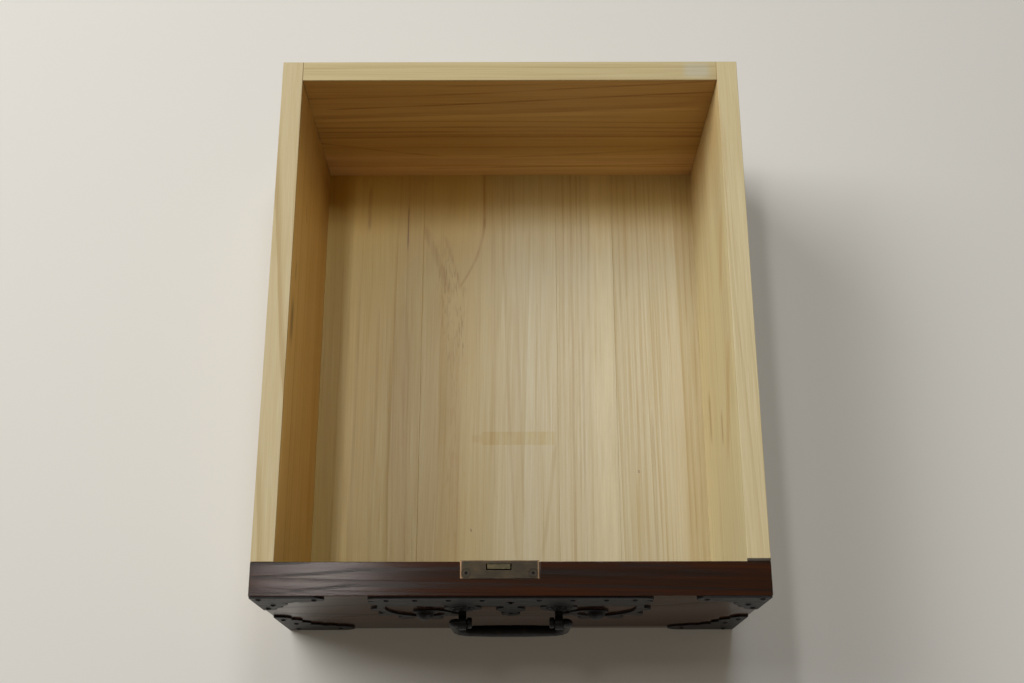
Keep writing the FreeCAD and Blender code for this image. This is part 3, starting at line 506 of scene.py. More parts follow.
@dataclass(frozen=True)
class BlackIron:
    """Hammered iron under burnt-on black lacquer, brown where hands and nails have rubbed it."""

    black: Colour = (0.010, 0.0098, 0.0100)
    rubbed: Colour = (0.038, 0.028, 0.021)
    dents: float = 9.0
    depth: float = 0.16
    rough: float = 0.46
    cloud: float = 14.0
    grit: float = 0.9

    def material(self, name: str) -> bpy.types.Material:
        """Make the finish under a name."""
        shader = Shader(name, Metallic=0.1, Specular_IOR_Level=0.18)
        cells = shader.add("ShaderNodeTexVoronoi", {"Vector": shader.point, "Scale": 1 / self.dents,
                                                    "Smoothness": 0.9}, feature="SMOOTH_F1").outputs["Distance"]
        cloud = shader.noise(shader.point, self.cloud, 4, 0.6)
        grit = shader.noise(shader.point, self.grit, 3, 0.6)
        wear = shader.ease(shader.total(cloud, (grit, 0.35)), 0.10, 0.75)
        shader.paint("Base Color", shader.mix(wear, self.black, self.rubbed))
        shader.paint("Roughness", shader.total(self.rough, (wear, 0.16), (grit, 0.08)))
        shader.relief(shader.total(cells, (grit, 0.12)), self.depth * 4)
        return shader.material


@dataclass(frozen=True)
class AgedBrass:
    """Brass gone grey-brown, with scratches, and bright copper-brown along its rubbed edges."""

    dull: Colour = (0.029, 0.022, 0.014)
    clean: Colour = (0.068, 0.048, 0.027)
    marks: tuple[Stroke | Halo, ...] = ()
    verdigris: Colour = (0.020, 0.026, 0.017)
    rough: float = 0.42
    cloud: float = 11.0
    scratch: float = 0.5
    bloom: float = 6.0

    def material(self, name: str) -> bpy.types.Material:
        """Make the finish under a name."""
        shader = Shader(name, Metallic=0.85)
        cloud = shader.noise(shader.point, self.cloud, 4, 0.6)
        scratch = shader.noise(shader.scaled(shader.point, (0.05, 1, 1)), self.scratch, 2)
        bloom = shader.noise(shader.point, self.bloom, 3, 0.6)
        colour = shader.mix(shader.ease(cloud, -0.30, 0.75), self.dull, self.clean)
        colour = shader.mix(shader.ease(bloom, 0.05, 0.45, 0.0, 0.45), colour, self.verdigris)
        colour = shader.mix(shader.ease(scratch, 0.35, 0.7, 0.0, 0.3), colour, self.clean)
        for mark in self.marks:
            colour = mark.lay(shader, colour)
        shader.paint("Base Color", colour)
        shader.paint("Roughness", shader.total(self.rough, (cloud, 0.12), (scratch, 0.05)))
        shader.relief(shader.total((scratch, 0.5), (cloud, 0.5)), 0.05)
        return shader.material


@dataclass(frozen=True)
class OiledSteel:
    """Grey steel with a little rust."""

    grey: Colour = (0.20, 0.18, 0.16)
    rust: Colour = (0.10, 0.05, 0.025)
    cloud: float = 4.0
    rough: float = 0.42

    def material(self, name: str) -> bpy.types.Material:
        """Make the finish under a name."""
        shader = Shader(name, Metallic=0.9)
        cloud = shader.noise(shader.point, self.cloud, 4, 0.65)
        wear = shader.ease(cloud, 0.0, 0.7)
        shader.paint("Base Color", shader.mix(wear, self.grey, self.rust))
        shader.paint("Roughness", shader.total(self.rough, (wear, 0.25)))
        shader.relief(cloud, 0.05)
        return shader.material


# --------------------------------------------------------------------- meshes

WELD = 1e-6
FLAT = math.radians(0.4)
SHARP = math.radians(35)


def merged_copy(node: str, flat: bool = True) -> bmesh.types.BMesh:
    """Copy of a CAD node's mesh.

    Args:
        node: Name of the node.
        flat: Whether its flat faces are joined.

    Returns:
        The copy, with its doubles merged.
    """
    bm = bmesh.new()
    bm.from_mesh(frame["nodes"][node].data)
    bmesh.ops.remove_doubles(bm, verts=bm.verts[:], dist=WELD)
    if flat:
        bmesh.ops.dissolve_limit(bm, angle_limit=FLAT, verts=bm.verts[:], edges=bm.edges[:],
                                 use_dissolve_boundaries=False, delimit=set())
    return bm


def rounded_copy(node: str, offset: float, shortest: float = 0.0, segments: int = 2,
                 chosen: Callable[[bmesh.types.BMEdge], bool] | None = None) -> bmesh.types.BMesh:
    """Copy of a CAD node's mesh with its sharp outer edges rounded.

    Args:
        node: Name of the node.
        offset: Width of the rounding, in millimetres.
        shortest: Length under which an edge stays sharp, in millimetres.
        segments: Steps across the rounding.
        chosen: Test that an edge has to pass as well.

    Returns:
        The copy.
    """
    bm = merged_copy(node)
    edges = [edge for edge in bm.edges
             if len(edge.link_faces) == 2 and edge.calc_face_angle_signed(0.0) > SHARP
             and edge.calc_length() >= shortest * MM and (chosen is None or chosen(edge))]
    bmesh.ops.bevel(bm, geom=edges, offset=offset * MM, offset_type="OFFSET", segments=segments, profile=0.5,
                    affect="EDGES", clamp_overlap=True, loop_slide=True, material=-1)
    return bm


def turned(bm: bmesh.types.BMesh, profile: Sequence[tuple[float, float]], steps: int,
           place: Matrix) -> list[bmesh.types.BMVert]:
    """Turn a profile about an axis, as on a lathe.

    Args:
        bm: Mesh to add to.
        profile: Radius and height of each point, in millimetres, from one end to the other.
        steps: Steps of the full turn.
        place: Matrix from the lathe's frame, whose axis is Z, to the row frame.

    Returns:
        The new vertices.
    """
    known = set(bm.verts)
    chain = [bm.verts.new((radius * MM, 0.0, height * MM)) for radius, height in profile]
    edges = [bm.edges.new(pair) for pair in zip(chain, chain[1:])]
    bmesh.ops.spin(bm, geom=chain + edges, cent=(0, 0, 0), axis=(0, 0, 1), dvec=(0, 0, 0), angle=math.tau,
                   steps=steps, use_merge=True, use_duplicate=False)
    made = [vertex for vertex in bm.verts if vertex not in known]
    bmesh.ops.remove_doubles(bm, verts=made, dist=1e-7)
    made = [vertex for vertex in bm.verts if vertex not in known]
    faces = list(dict.fromkeys(face for vertex in made for face in vertex.link_faces))
    bmesh.ops.recalc_face_normals(bm, faces=faces)
    bmesh.ops.transform(bm, matrix=place, verts=made)
    return made


def dome(radius: float, height: float, rim: float, rings: int) -> list[tuple[float, float]]:
    """Profile of a domed head.

    Args:
        radius: Radius of its foot, in millimetres.
        height: Height of its top.
        rim: Height of the straight edge at its foot.
        rings: Points over the dome.

    Returns:
        Radius and height of each point, from the middle of the back to the top.
    """
    arch = [(radius * math.cos(math.pi / 2 * step / rings),
             rim + (height - rim) * math.sin(math.pi / 2 * step / rings)) for step in range(rings)]
    return [(0.0, 0.0), (radius, 0.0), *arch, (0.0, height)]


def facing_front(across: float, depth: float, up: float, tilt: tuple[float, float] = (0.0, 0.0)) -> Matrix:
    """Matrix that lays a turned piece's axis towards the viewer of the front.

    Args:
        across: X of its foot, in millimetres.
        depth: Y of its foot.
        up: Z of its foot.
        tilt: Degrees that it leans about X and Z.

    Returns:
        The matrix.
    """
    lean = Euler((math.radians(90 + tilt[0]), 0.0, math.radians(tilt[1])))
    return Matrix.Translation(Vector((across, depth, up)) * MM) @ lean.to_matrix().to_4x4()


def swept(bm: bmesh.types.BMesh, stations: Sequence[tuple[Vector, float]], sides: int = 24) -> None:
    """Round bar through stations that lie in one plane of X and Z.

    Args:
        bm: Mesh to add to.
        stations: Middle and radius of the bar along its way, in metres.
        sides: Sides of the bar.
    """
    middles = [middle for middle, _ in stations]
    frames = []
    for index, (middle, radius) in enumerate(stations):
        along = (middles[min(index + 1, len(middles) - 1)] - middles[max(index - 1, 0)]).normalized()
        across = Vector((0, 1, 0))
        turn = Matrix((across.cross(along), across, along)).transposed().to_4x4()
        frames.append(Matrix.Translation(middle) @ turn @ Matrix.Scale(radius, 4))
    ring = bmesh.ops.create_circle(bm, cap_ends=True, radius=1.0, segments=sides, matrix=frames[0])["verts"]
    edges = list(dict.fromkeys(edge for vertex in ring for edge in vertex.link_edges))
    for before, after in zip(frames, frames[1:]):
        found = bmesh.ops.extrude_edge_only(bm, edges=edges)["geom"]
        verts = [item for item in found if isinstance(item, bmesh.types.BMVert)]
        edges = [item for item in found if isinstance(item, bmesh.types.BMEdge)
                 and all(vertex in verts for vertex in item.verts)]
        bmesh.ops.transform(bm, matrix=after @ before.inverted(), verts=verts)
    bmesh.ops.holes_fill(bm, edges=edges, sides=0)
    bmesh.ops.recalc_face_normals(bm, faces=bm.faces[:])


def solid_boxes(node: str) -> list[tuple[Vector, Vector]]:
    """Lowest and highest corner, in millimetres, of each separate solid of a CAD node."""
    bm = merged_copy(node, flat=False)
    boxes, left = [], set(bm.verts)
    while left:
        group, edge = set(), {left.pop()}
        while edge:
            group |= edge
            edge = {end for vertex in edge for link in vertex.link_edges for end in link.verts} - group
        left -= group
        corners = [[pick(vertex.co[axis] for vertex in group) / MM for axis in range(3)] for pick in (min, max)]
        boxes.append((Vector(corners[0]), Vector(corners[1])))
    bm.free()
    return sorted(boxes, key=lambda box: (round(box[0].z), round(box[0].x)))


def piece(name: str, bm: bmesh.types.BMesh, material: bpy.types.Material, replaces: Sequence[str],
          body: Body = Body.BOX, angle: float = 42.0) -> bpy.types.Object:
    """Make a finished mesh an object that rides on a body.

    Args:
        name: Name of the piece.
        bm: Its mesh, in place in the row frame; it is freed.
        material: Its finish.
        replaces: CAD nodes that it stands for.
        body: Body that it rides on.
        angle: Angle between faces, in degrees, over which an edge looks sharp.

    Returns:
        The object.
    """
    mesh = bpy.data.meshes.new(name)
    for face in bm.faces:
        face.smooth = True
    bm.to_mesh(mesh)
    bm.free()
    mesh.set_sharp_from_angle(angle=math.radians(angle))
    mesh.materials.append(material)
    made = bpy.data.objects.new(name, mesh)
    bpy.context.scene.collection.objects.link(made)
    weighted = made.modifiers.new("Even normals", "WEIGHTED_NORMAL")
    weighted.keep_sharp = True
    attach(made, body.value)
    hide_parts(*replaces)
    log.info("%s: %d faces", name, len(mesh.polygons))
    return made


def dress(nodes: Iterable[str], material: bpy.types.Material) -> None:
    """Give CAD nodes that stay a finish.

    Args:
        nodes: Their names.
        material: The finish.
    """
    for node in nodes:
        mesh = frame["nodes"][node].data
        mesh.materials.clear()
        mesh.materials.append(material)
        log.info("%s: kept, %s", node, material.name)


# ------------------------------------------------------------------- woodwork

PLAN = (Axis.X, Axis.Y)
SOLID = (Axis.X, Axis.Y, Axis.Z)
REAR_FACE, FLOOR_TOP, RIM = 215.5, 10.0, 192.5
SKIN = 0.4
BARK = (0.26, 0.14, 0.045)
BROWN = (0.35, 0.215, 0.055)
CREAM = (0.64, 0.55, 0.34)
FLECK = (0.36, 0.25, 0.11)
INK = (0.0045, 0.0040, 0.0038)
OCHRE = (0.60, 0.40, 0.15)
RUSSET = (0.42, 0.24, 0.06)
SOOT = (0.13, 0.06, 0.014)
TAN = (0.42, 0.29, 0.105)
TAPE = (0.92, 0.85, 0.60)
UMBER = (0.17, 0.09, 0.022)
Row = tuple[tuple[float, ...], float, float, Colour, float, float]


@dataclass(frozen=True)
class Board:
    """Bare board of the box: its node, how it was sawn, how strongly its rings show, and what marks it.

    A row of lines holds the points of a line, written one after the other as places across and along, then its
    thickness, softness, tone, strength and fade. The first axis is across the lines and the second along them. The
    tones are the pale and the deep colour of the wood, and the spots are marks of other kinds. Lengths are in
    millimetres.
    """

    node: str
    log: Log
    figure: float
    lines: tuple[Row, ...]
    axes: tuple[Axis, Axis] = PLAN
    tones: tuple[Colour, Colour] = ((0.548, 0.474, 0.296), (0.42, 0.30, 0.115))
    stains_and_painted_light: tuple[Stroke, ...] = ()
    spots: tuple[Stroke, ...] = ()

    def build(self, end: str, slot: Slot, rough: float, edge: float, shortest: float, segments: int,
              stains_and_painted_light: tuple[Stroke, ...] = ()) -> None:
        """Build and dress the board.

        Args:
            end: What the name of its piece ends with.
            slot: The record's slot of its finish; not used.
            rough: Roughness of its planed faces.
            edge: Width of the rounding of its edges.
            shortest: Length under which an edge stays sharp.
            segments: Steps across the rounding.
            stains_and_painted_light: Washes of painted light and shade that it shares with other boards.
        """
        marks = tuple(Stroke.through(self.axes, list(zip(points[::2], points[1::2])), *rest)
                      for points, *rest in self.lines)
        finish = PlanedKiri(self.log, *self.tones, figure=self.figure, rough=rough, marks=marks + self.spots,
                            stains_and_painted_light=self.stains_and_painted_light + stains_and_painted_light)
        piece(f"{self.node}_{end}", rounded_copy(self.node, edge, shortest, segments),
              finish.material(f"kiri {self.node}"), [self.node])


@dataclass(frozen=True)
class SideFace:
    """Inner face of a side board, what marks it, and the painted light and shade on it. Lengths are in millimetres."""

    x: float

    def stain_and_painted_light(self, tone: Colour) -> Stroke:
        """Painted light: a multiply wash over the whole face that brightens and tints it."""
        return Stroke((Axis.X, Axis.Z, Axis.Y), (self.x, 90, 0), (SKIN, 101, 214), (SKIN, 1, 1), tone,
                      blend="MULTIPLY")

    def painted_rear_shade(self, tone: Colour) -> Stroke:
        """Painted shade: a multiply wash that fades in towards the rear."""
        return Stroke(PLAN, (self.x, 204), (SKIN, 10), (SKIN, 90), tone, blend="MULTIPLY")

    def streak(self, place: tuple[float, float], half: tuple[float, float], soft: tuple[float, float], tone: Colour,
               strength: float, rise: float = 0.0) -> Stroke:
        """Knot or streak along the board.

        Args:
            place: Z and Y of its middle.
            half: Half of its height and of its length.
            soft: How far it fades up and down and at its ends.
            tone: Its colour.
            strength: How strongly it covers.
            rise: Its slope along the board.

        Returns:
            The mark.
        """
        return Stroke((Axis.Z, Axis.Y, Axis.X), (*place, self.x), (*half, SKIN), (*soft, SKIN), tone, strength, rise)


LEFT, RIGHT = SideFace(-182.0), SideFace(182.0)


def painted_back_light_and_shade(height: float, half: float, soft: float, tone: Colour) -> Stroke:
    """Painted light and shade: a multiply wash along the inner face of the back board, about a height."""
    return Stroke((Axis.Y, Axis.Z), (REAR_FACE, height), (SKIN, half), (SKIN, soft), tone, blend="MULTIPLY")


@dataclass
class WoodBox:
    """The drawer's boards and pegs.

    Lengths are in millimetres. What lies in front of face_line has a shaded copy of the lacquer, whose lower specular
    level keeps the face dark: painted shade. A row of grain is a dark line on the front's top edge: X and Y of its
    middle, half its length, half its thickness, lean and strength.
    The painted floor shade is a set of multiply washes that warm and darken the floor towards the rear and the left.
    """

    edge: float = 0.5
    front_edge: float = 0.9
    floor_edge: float = 0.2
    shortest: float = 9.0
    face_line: float = -232.5
    shaded_face_shine: float = 0.10
    wall_rough: float = 0.50
    floor_rough: float = 0.37
    grain: tuple[tuple[float, float, float, float, float, float], ...] = (
        (-182, -209.2, 18, 0.5, 0.022, 0.75), (-171, -218.2, 24, 0.4, 0.045, 0.85), (-129, -215.4, 22, 0.5, 0.070, 0.8),
        (-80, -213.6, 36, 0.8, 0.012, 0.6), (-145, -228.3, 18, 0.6, 0.080, 0.85), (-98, -225.7, 24, 0.8, 0.004, 0.7),
        (-40, -226.9, 40, 0.7, 0.0, 0.4), (46, -215.6, 20, 1.0, 0.0, 0.55), (64, -226.8, 26, 0.9, 0.0, 0.5),
        (80, -217.0, 22, 1.0, -0.01, 0.5), (112, -211.0, 20, 0.8, -0.01, 0.5), (135, -218.4, 30, 1.0, 0.01, 0.45),
        (160, -214.6, 24, 0.8, -0.01, 0.45), (120, -231.6, 34, 0.6, 0.0, 0.45), (-186, -231.8, 12, 0.5, 0.0, 0.5),
    )
    walls: tuple[Board, ...] = (
        Board("left_side", Log((-150.0, 0.0, 40.0), (1.0, 0.0, 0.8), 5.5, 3.0, 2.2), 1.0, (
            ((150, 190, 152, 60, 149, -205), 0.4, 1.8, BARK, 0.23, 30),
            ((140, 200, 143, 0, 141, -205), 0.5, 2.1, BROWN, 0.3, 30),
            ((120, 200, 118, -205), 0.4, 2.1, BROWN, 0.28, 30),
            ((101, 200, 98, 20, 101, -205), 0.4, 2, BARK, 0.2, 30), ((84, 200, 80, -205), 0.4, 2, BROWN, 0.25, 30),
            ((60, 190, 62, -205), 0.4, 2, BROWN, 0.25, 30), ((38, 200, 36, -205), 4.0, 6, BROWN, 0.2, 30),
        ), (Axis.Z, Axis.Y), ((0.53, 0.44, 0.25), (0.40, 0.285, 0.115)), (
            # Painted light: brightens and warms the left wall's inner face, standing for light bounced into its shade.
            LEFT.stain_and_painted_light((1.62, 1.24, 0.70)),
            # Painted shade: darkens the left wall's inner face towards the rear.
            LEFT.painted_rear_shade((0.62, 0.57, 0.50)),
            LEFT.streak((176, -3), (1, 5), (9, 22), (0.19, 0.095, 0.022), 0.70),
            LEFT.streak((134, 115), (0.4, 5), (1.6, 6), UMBER, 0.60, 0.34),
            LEFT.streak((170, 44), (1, 4), (3, 7), UMBER, 0.35),
        )),
        Board("right_side", Log((120.0, 0.0, 60.0), (-0.8, 0.0, 0.5), 5.0, 3.0, 6.4), 1.0, (
            ((164, 190, 162, -60), 10.0, 10, BROWN, 0.2, 40), ((30, 200, 28, -205), 0.4, 1.8, BROWN, 0.28, 30),
            ((26, 200, 25, -205), 0.4, 1.6, BROWN, 0.25, 30), ((142, 200, 140, -205), 0.4, 2, BROWN, 0.25, 30),
            ((100, 200, 103, 0, 100, -205), 0.4, 2, BROWN, 0.25, 30),
            ((84, 190, 82, -205), 0.4, 1.8, BROWN, 0.25, 30), ((44, 200, 42, -205), 0.4, 1.8, BROWN, 0.23, 30),
        ), (Axis.Z, Axis.Y), ((0.62, 0.53, 0.315), (0.46, 0.34, 0.15)), (
            # Painted light: brightens the right wall's inner face.
            RIGHT.stain_and_painted_light((1.35, 1.42, 1.44)),
            # Painted shade: darkens the right wall's inner face a little towards the rear.
            RIGHT.painted_rear_shade((1.0, 0.90, 0.78)),
            RIGHT.streak((113.4, -79), (1, 6), (5, 14), RUSSET, 0.60),
            RIGHT.streak((52, -52), (1.5, 12), (7, 18), RUSSET, 0.55),
            RIGHT.streak((150, -65), (3, 30), (10, 30), OCHRE, 0.50, 0.37),
            RIGHT.streak((158, 67), (3, 18), (9, 24), OCHRE, 0.45, 0.37),
            Stroke(SOLID, (190.5, -206.6, RIM), (9.3, 0.9, 1.0), (0.6, 0.5, 0.6), (0.016, 0.008, 0.005), 0.95),
        )),
        Board("back_board", Log((0.0, 300.0, 60.0), (0.0, 3.0, 90.0), 6.5, 4.0, 9.9), 1.0, (
            ((142, -150, 155, 0, 171, 180), 0.5, 1.4, BARK, 0.8, 24),
            ((160, -180, 172, 0, 190, 180), 0.4, 1.4, BARK, 0.64, 24),
            ((182, -40, 191, 180), 0.4, 1.4, BARK, 0.43, 24),
            ((121, -170, 130, 0, 142, 165), 2.0, 2.6, CREAM, 0.5, 20),
            ((127, -170, 137, 0, 149, 150), 2.0, 4, BARK, 0.41, 24),
            ((107, -175, 109, 0, 107, 180), 0.5, 1.7, BARK, 0.58, 20),
            ((99, -175, 101, 0, 99, 180), 0.6, 1.7, BARK, 0.64, 20),
            ((92, -175, 94, 0, 92, 180), 1.2, 2.2, BARK, 0.5, 20),
            ((86, -175, 88, 0, 86, 180), 0.8, 1.4, CREAM, 0.43, 20),
            ((78, -178, 66, -128, 52, -72), 0.5, 1.9, BARK, 0.54, 14),
            ((50, 0, 56, 70, 64, 140), 0.5, 1.9, BARK, 0.5, 20),
            ((26, -70, 28, 0, 34, 176), 0.5, 1.7, BARK, 0.49, 20), ((70, -170, 72, 180), 0.4, 1.9, BARK, 0.29, 30),
            ((40, -175, 41, 170), 3.0, 5, BARK, 0.28, 30),
        ), (Axis.Z, Axis.X), ((0.55, 0.46, 0.25), (0.36, 0.255, 0.095)), (
            # Painted shade: warms and darkens the back board's whole inner face, and darkens it more at the top.
            painted_back_light_and_shade(90, 101, 1, (1.06, 0.75, 0.41)),
            painted_back_light_and_shade(192, 20, 50, (0.86, 0.80, 0.70)),
            # Painted light: brightens the lowest part of the back board's inner face.
            painted_back_light_and_shade(15, 12, 45, (1.62, 1.88, 3.20)),
            Stroke(SOLID, (164.5, 225, RIM), (6, 3, 0.3), (9, 7, 0.3), (0.96, 1.08, 1.48), blend="MULTIPLY"),
        )),
    )
    planks: tuple[Board, ...] = (
        Board("floor_board_left", Log((-150.0, 0.0, -118.0), (0.4, 0.0, 0.5), 6.5, 3.0, 3.1), 0.55, (
            ((-102, 172, -102, 144), 0.2, 0.9, SOOT, 0.9, 14), ((-102, 200, -101, -30), 0.2, 1.3, BROWN, 0.28, 40),
            ((-140, 196, -140, 164), 0.5, 2.0, UMBER, 0.5, 14), ((-106, 60, -104, -200), 5.0, 4, TAN, 0.31, 30),
            ((-98, 30, -97, -190), 0.4, 1.3, BROWN, 0.28, 40), ((-112, 60, -110, -180), 0.3, 1.3, BROWN, 0.28, 40),
            ((-128, 60, -129, -180), 0.3, 1.3, BROWN, 0.38, 24), ((-152, 210, -152, -210), 2.5, 2, CREAM, 0.4, 10),
            ((-88, 200, -84, -200), 0.5, 1.3, CREAM, 0.45, 20), ((-146, 120, -147, -200), 0.3, 1.3, BROWN, 0.24, 40),
            ((-170, 210, -171, -210), 4.0, 5, TAN, 0.31, 20), ((-164, 100, -165, -200), 0.3, 1.2, BROWN, 0.31, 40),
        )),
        Board("floor_board_middle", Log((-40.0, 0.0, -90.0), (0.3, 0.0, -0.9), 7.0, 2.5, 1.2), 0.30, (
            ((-56, 236, -56, 156), 22.0, 12, CREAM, 0.55, 30), ((-26.5, 214, -26, 160), 0.4, 1.7, BROWN, 0.7, 6),
            ((-26, 164, -32, 130, -48, 97), 0.4, 1.8, BROWN, 0.7, 6), ((-84, 152, -61, 92), 1.2, 4, BROWN, 0.45, 14),
            ((-64, 142, -50, 96), 0.6, 2.6, BROWN, 0.29, 12), ((-79, 210, -78, 120), 0.2, 1.3, BROWN, 0.21, 20),
            ((-70, 70, -66, -200), 5.0, 6, TAN, 0.28, 40), ((-56, 30, -53, -150), 3.0, 4, TAN, 0.31, 30),
            ((-8, 176, 4, -160), 0.5, 1.6, BROWN, 0.36, 24), ((4, 206, 12, -120), 0.4, 1.6, BROWN, 0.31, 24),
            ((-18, 190, -17, -60), 0.3, 1.3, BROWN, 0.28, 24), ((-15.5, 150, -14, -100), 0.3, 1.3, BROWN, 0.25, 24),
            ((2, 60, 8, -190), 3.0, 2, TAN, 0.29, 30), ((22, 190, 27, -200), 0.3, 1.3, BROWN, 0.21, 30),
            ((32, 190, 38, -40), 0.3, 1.2, BROWN, 0.22, 30), ((-34, 60, -28, -200), 0.3, 1.4, BROWN, 0.21, 40),
            ((42, -75, 38, -112, 31, -162), 0.8, 2.1, BROWN, 0.38, 16),
            ((-36.5, -146, -36.1, -148), 0.2, 0.9, UMBER, 0.8, 0.8),
        ), spots=(
            Stroke(PLAN, (-57, 66), (8, 38), (7, 20), FLECK, 0.80, -0.10, fleck=1.5),
            Stroke(PLAN, (-62, 112), (9, 20), (6, 14), FLECK, 0.70, -0.35, fleck=1.5),
            Stroke(PLAN, (-55, -60), (4, 80), (4, 30), TAN, 0.55, fleck=1.7),
            Stroke(PLAN, (8, -59.8), (34, 6.0), (1.4, 0.8), TAPE, 1.0, 0.01, blend="MULTIPLY"),
            Stroke(PLAN, (-31, -60.2), (3, 2.0), (4, 3.4), TAPE, 1.0, blend="MULTIPLY"),
        )),
        Board("floor_board_narrow", Log((64.0, 0.0, -160.0), (0.5, 0.0, -0.6), 6.0, 2.0, 5.7), 0.45, (
            ((52, 210, 52, -210), 0.3, 1, BROWN, 0.39, 20), ((57, 210, 57, -210), 0.3, 1.2, TAN, 0.50, 20),
            ((60, 210, 60, -210), 0.7, 1.2, BROWN, 0.52, 20), ((66, 210, 66, -210), 0.3, 1.2, BROWN, 0.42, 20),
            ((70, 210, 70, -210), 0.4, 1.3, BARK, 0.26, 20), ((45, 210, 45, -210), 0.2, 1, BROWN, 0.42, 20),
            ((88, 210, 88, -210), 8.0, 3, CREAM, 0.52, 20), ((76, 200, 76, -200), 0.3, 1.3, TAN, 0.36, 20),
        )),
        Board("floor_board_right", Log((230.0, 0.0, -90.0), (0.3, 0.0, 0.3), 4.6, 2.5, 8.3), 0.55, (
            ((121, 190, 121, -200), 0.3, 1.2, BROWN, 0.33, 20), ((126, 200, 126, -200), 0.5, 1.3, BROWN, 0.42, 20),
            ((133, -50, 133, -170), 0.6, 1.8, BARK, 0.25, 20), ((138, 200, 138, -200), 0.3, 1.2, BROWN, 0.33, 20),
            ((143, 200, 143, -200), 0.4, 1.3, BROWN, 0.30, 20), ((173, 210, 173, -210), 8.0, 4, TAN, 0.35, 10),
            ((166, 210, 166, -210), 0.3, 1, BROWN, 0.30, 10), ((171, 210, 171, -210), 0.3, 1, BROWN, 0.30, 10),
            ((177, 210, 177, -210), 0.3, 1, BROWN, 0.33, 10), ((152, 160, 152, -200), 0.3, 1, BROWN, 0.24, 20),
            ((108, 200, 108, -200), 0.2, 1, BROWN, 0.24, 20), ((114, 120, 114, -160), 0.2, 1, BROWN, 0.21, 20),
            ((119.9, -91, 120.1, -93), 0.2, 1, UMBER, 0.9, 0.8),
        )),
    )
    # Painted shade on the floor planks, warmer and darker towards the rear and the left.
    ages: tuple[Stroke, ...] = tuple(
        Stroke(SOLID, (*place, FLOOR_TOP), (*half, 0.3), (*soft, 0.3), tone, blend="MULTIPLY")
        for place, half, soft, tone in (((0, 245), (200, 45), (1, 100), (1.04, 0.90, 0.58)),
                                        ((-200, 0), (140, 300), (80, 1), (0.97, 0.83, 0.45)),
                                        ((-200, 0), (60, 300), (60, 1), (1.10, 1.08, 0.84))))

    def front(self) -> None:
        """Lacquered front board; what lies in front of the face line has a shaded copy of the lacquer, with a lower
        specular level that keeps it dark.
        """
        lines = tuple(Stroke((Axis.Y, Axis.X, Axis.Z), (y, x, 190), (thick, long, 4), (1.1, long * 0.7, 6), INK,
                             strength, lean) for x, y, long, thick, lean, strength in self.grain)
        sawn = Log((0.0, -150.0, 120.0), (0.0, 1.0, 88.5), 5.0, 4.0, 4.4)
        finish = LacqueredKeyaki(sawn, marks=lines)
        board = piece("front_lacquered", rounded_copy("front_board", self.front_edge, self.shortest, 3),
                      finish.material("keyaki top"), ["front_board"])
        # Painted shade: the face's copy of the lacquer reflects less, so the face stays dark.
        board.data.materials.append(replace(finish, shine=self.shaded_face_shine).material("keyaki face shaded"))
        for polygon in board.data.polygons:
            polygon.material_index = int(polygon.center.y < self.face_line * MM)

    def build(self) -> None:
        """Build and dress every board and peg."""
        for wall in self.walls:
            wall.build("board", Slot.SIDES, self.wall_rough, self.edge, self.shortest, 2)
        for plank in self.planks:
            plank.build("plank", Slot.FLOOR, self.floor_rough, self.floor_edge, self.shortest, 1, self.ages)
        self.front()
        dress(["floor_pegs", "rear_joint_pegs"], WhittledPeg().material("peg wood"))


# ------------------------------------------------------------------- ironwork

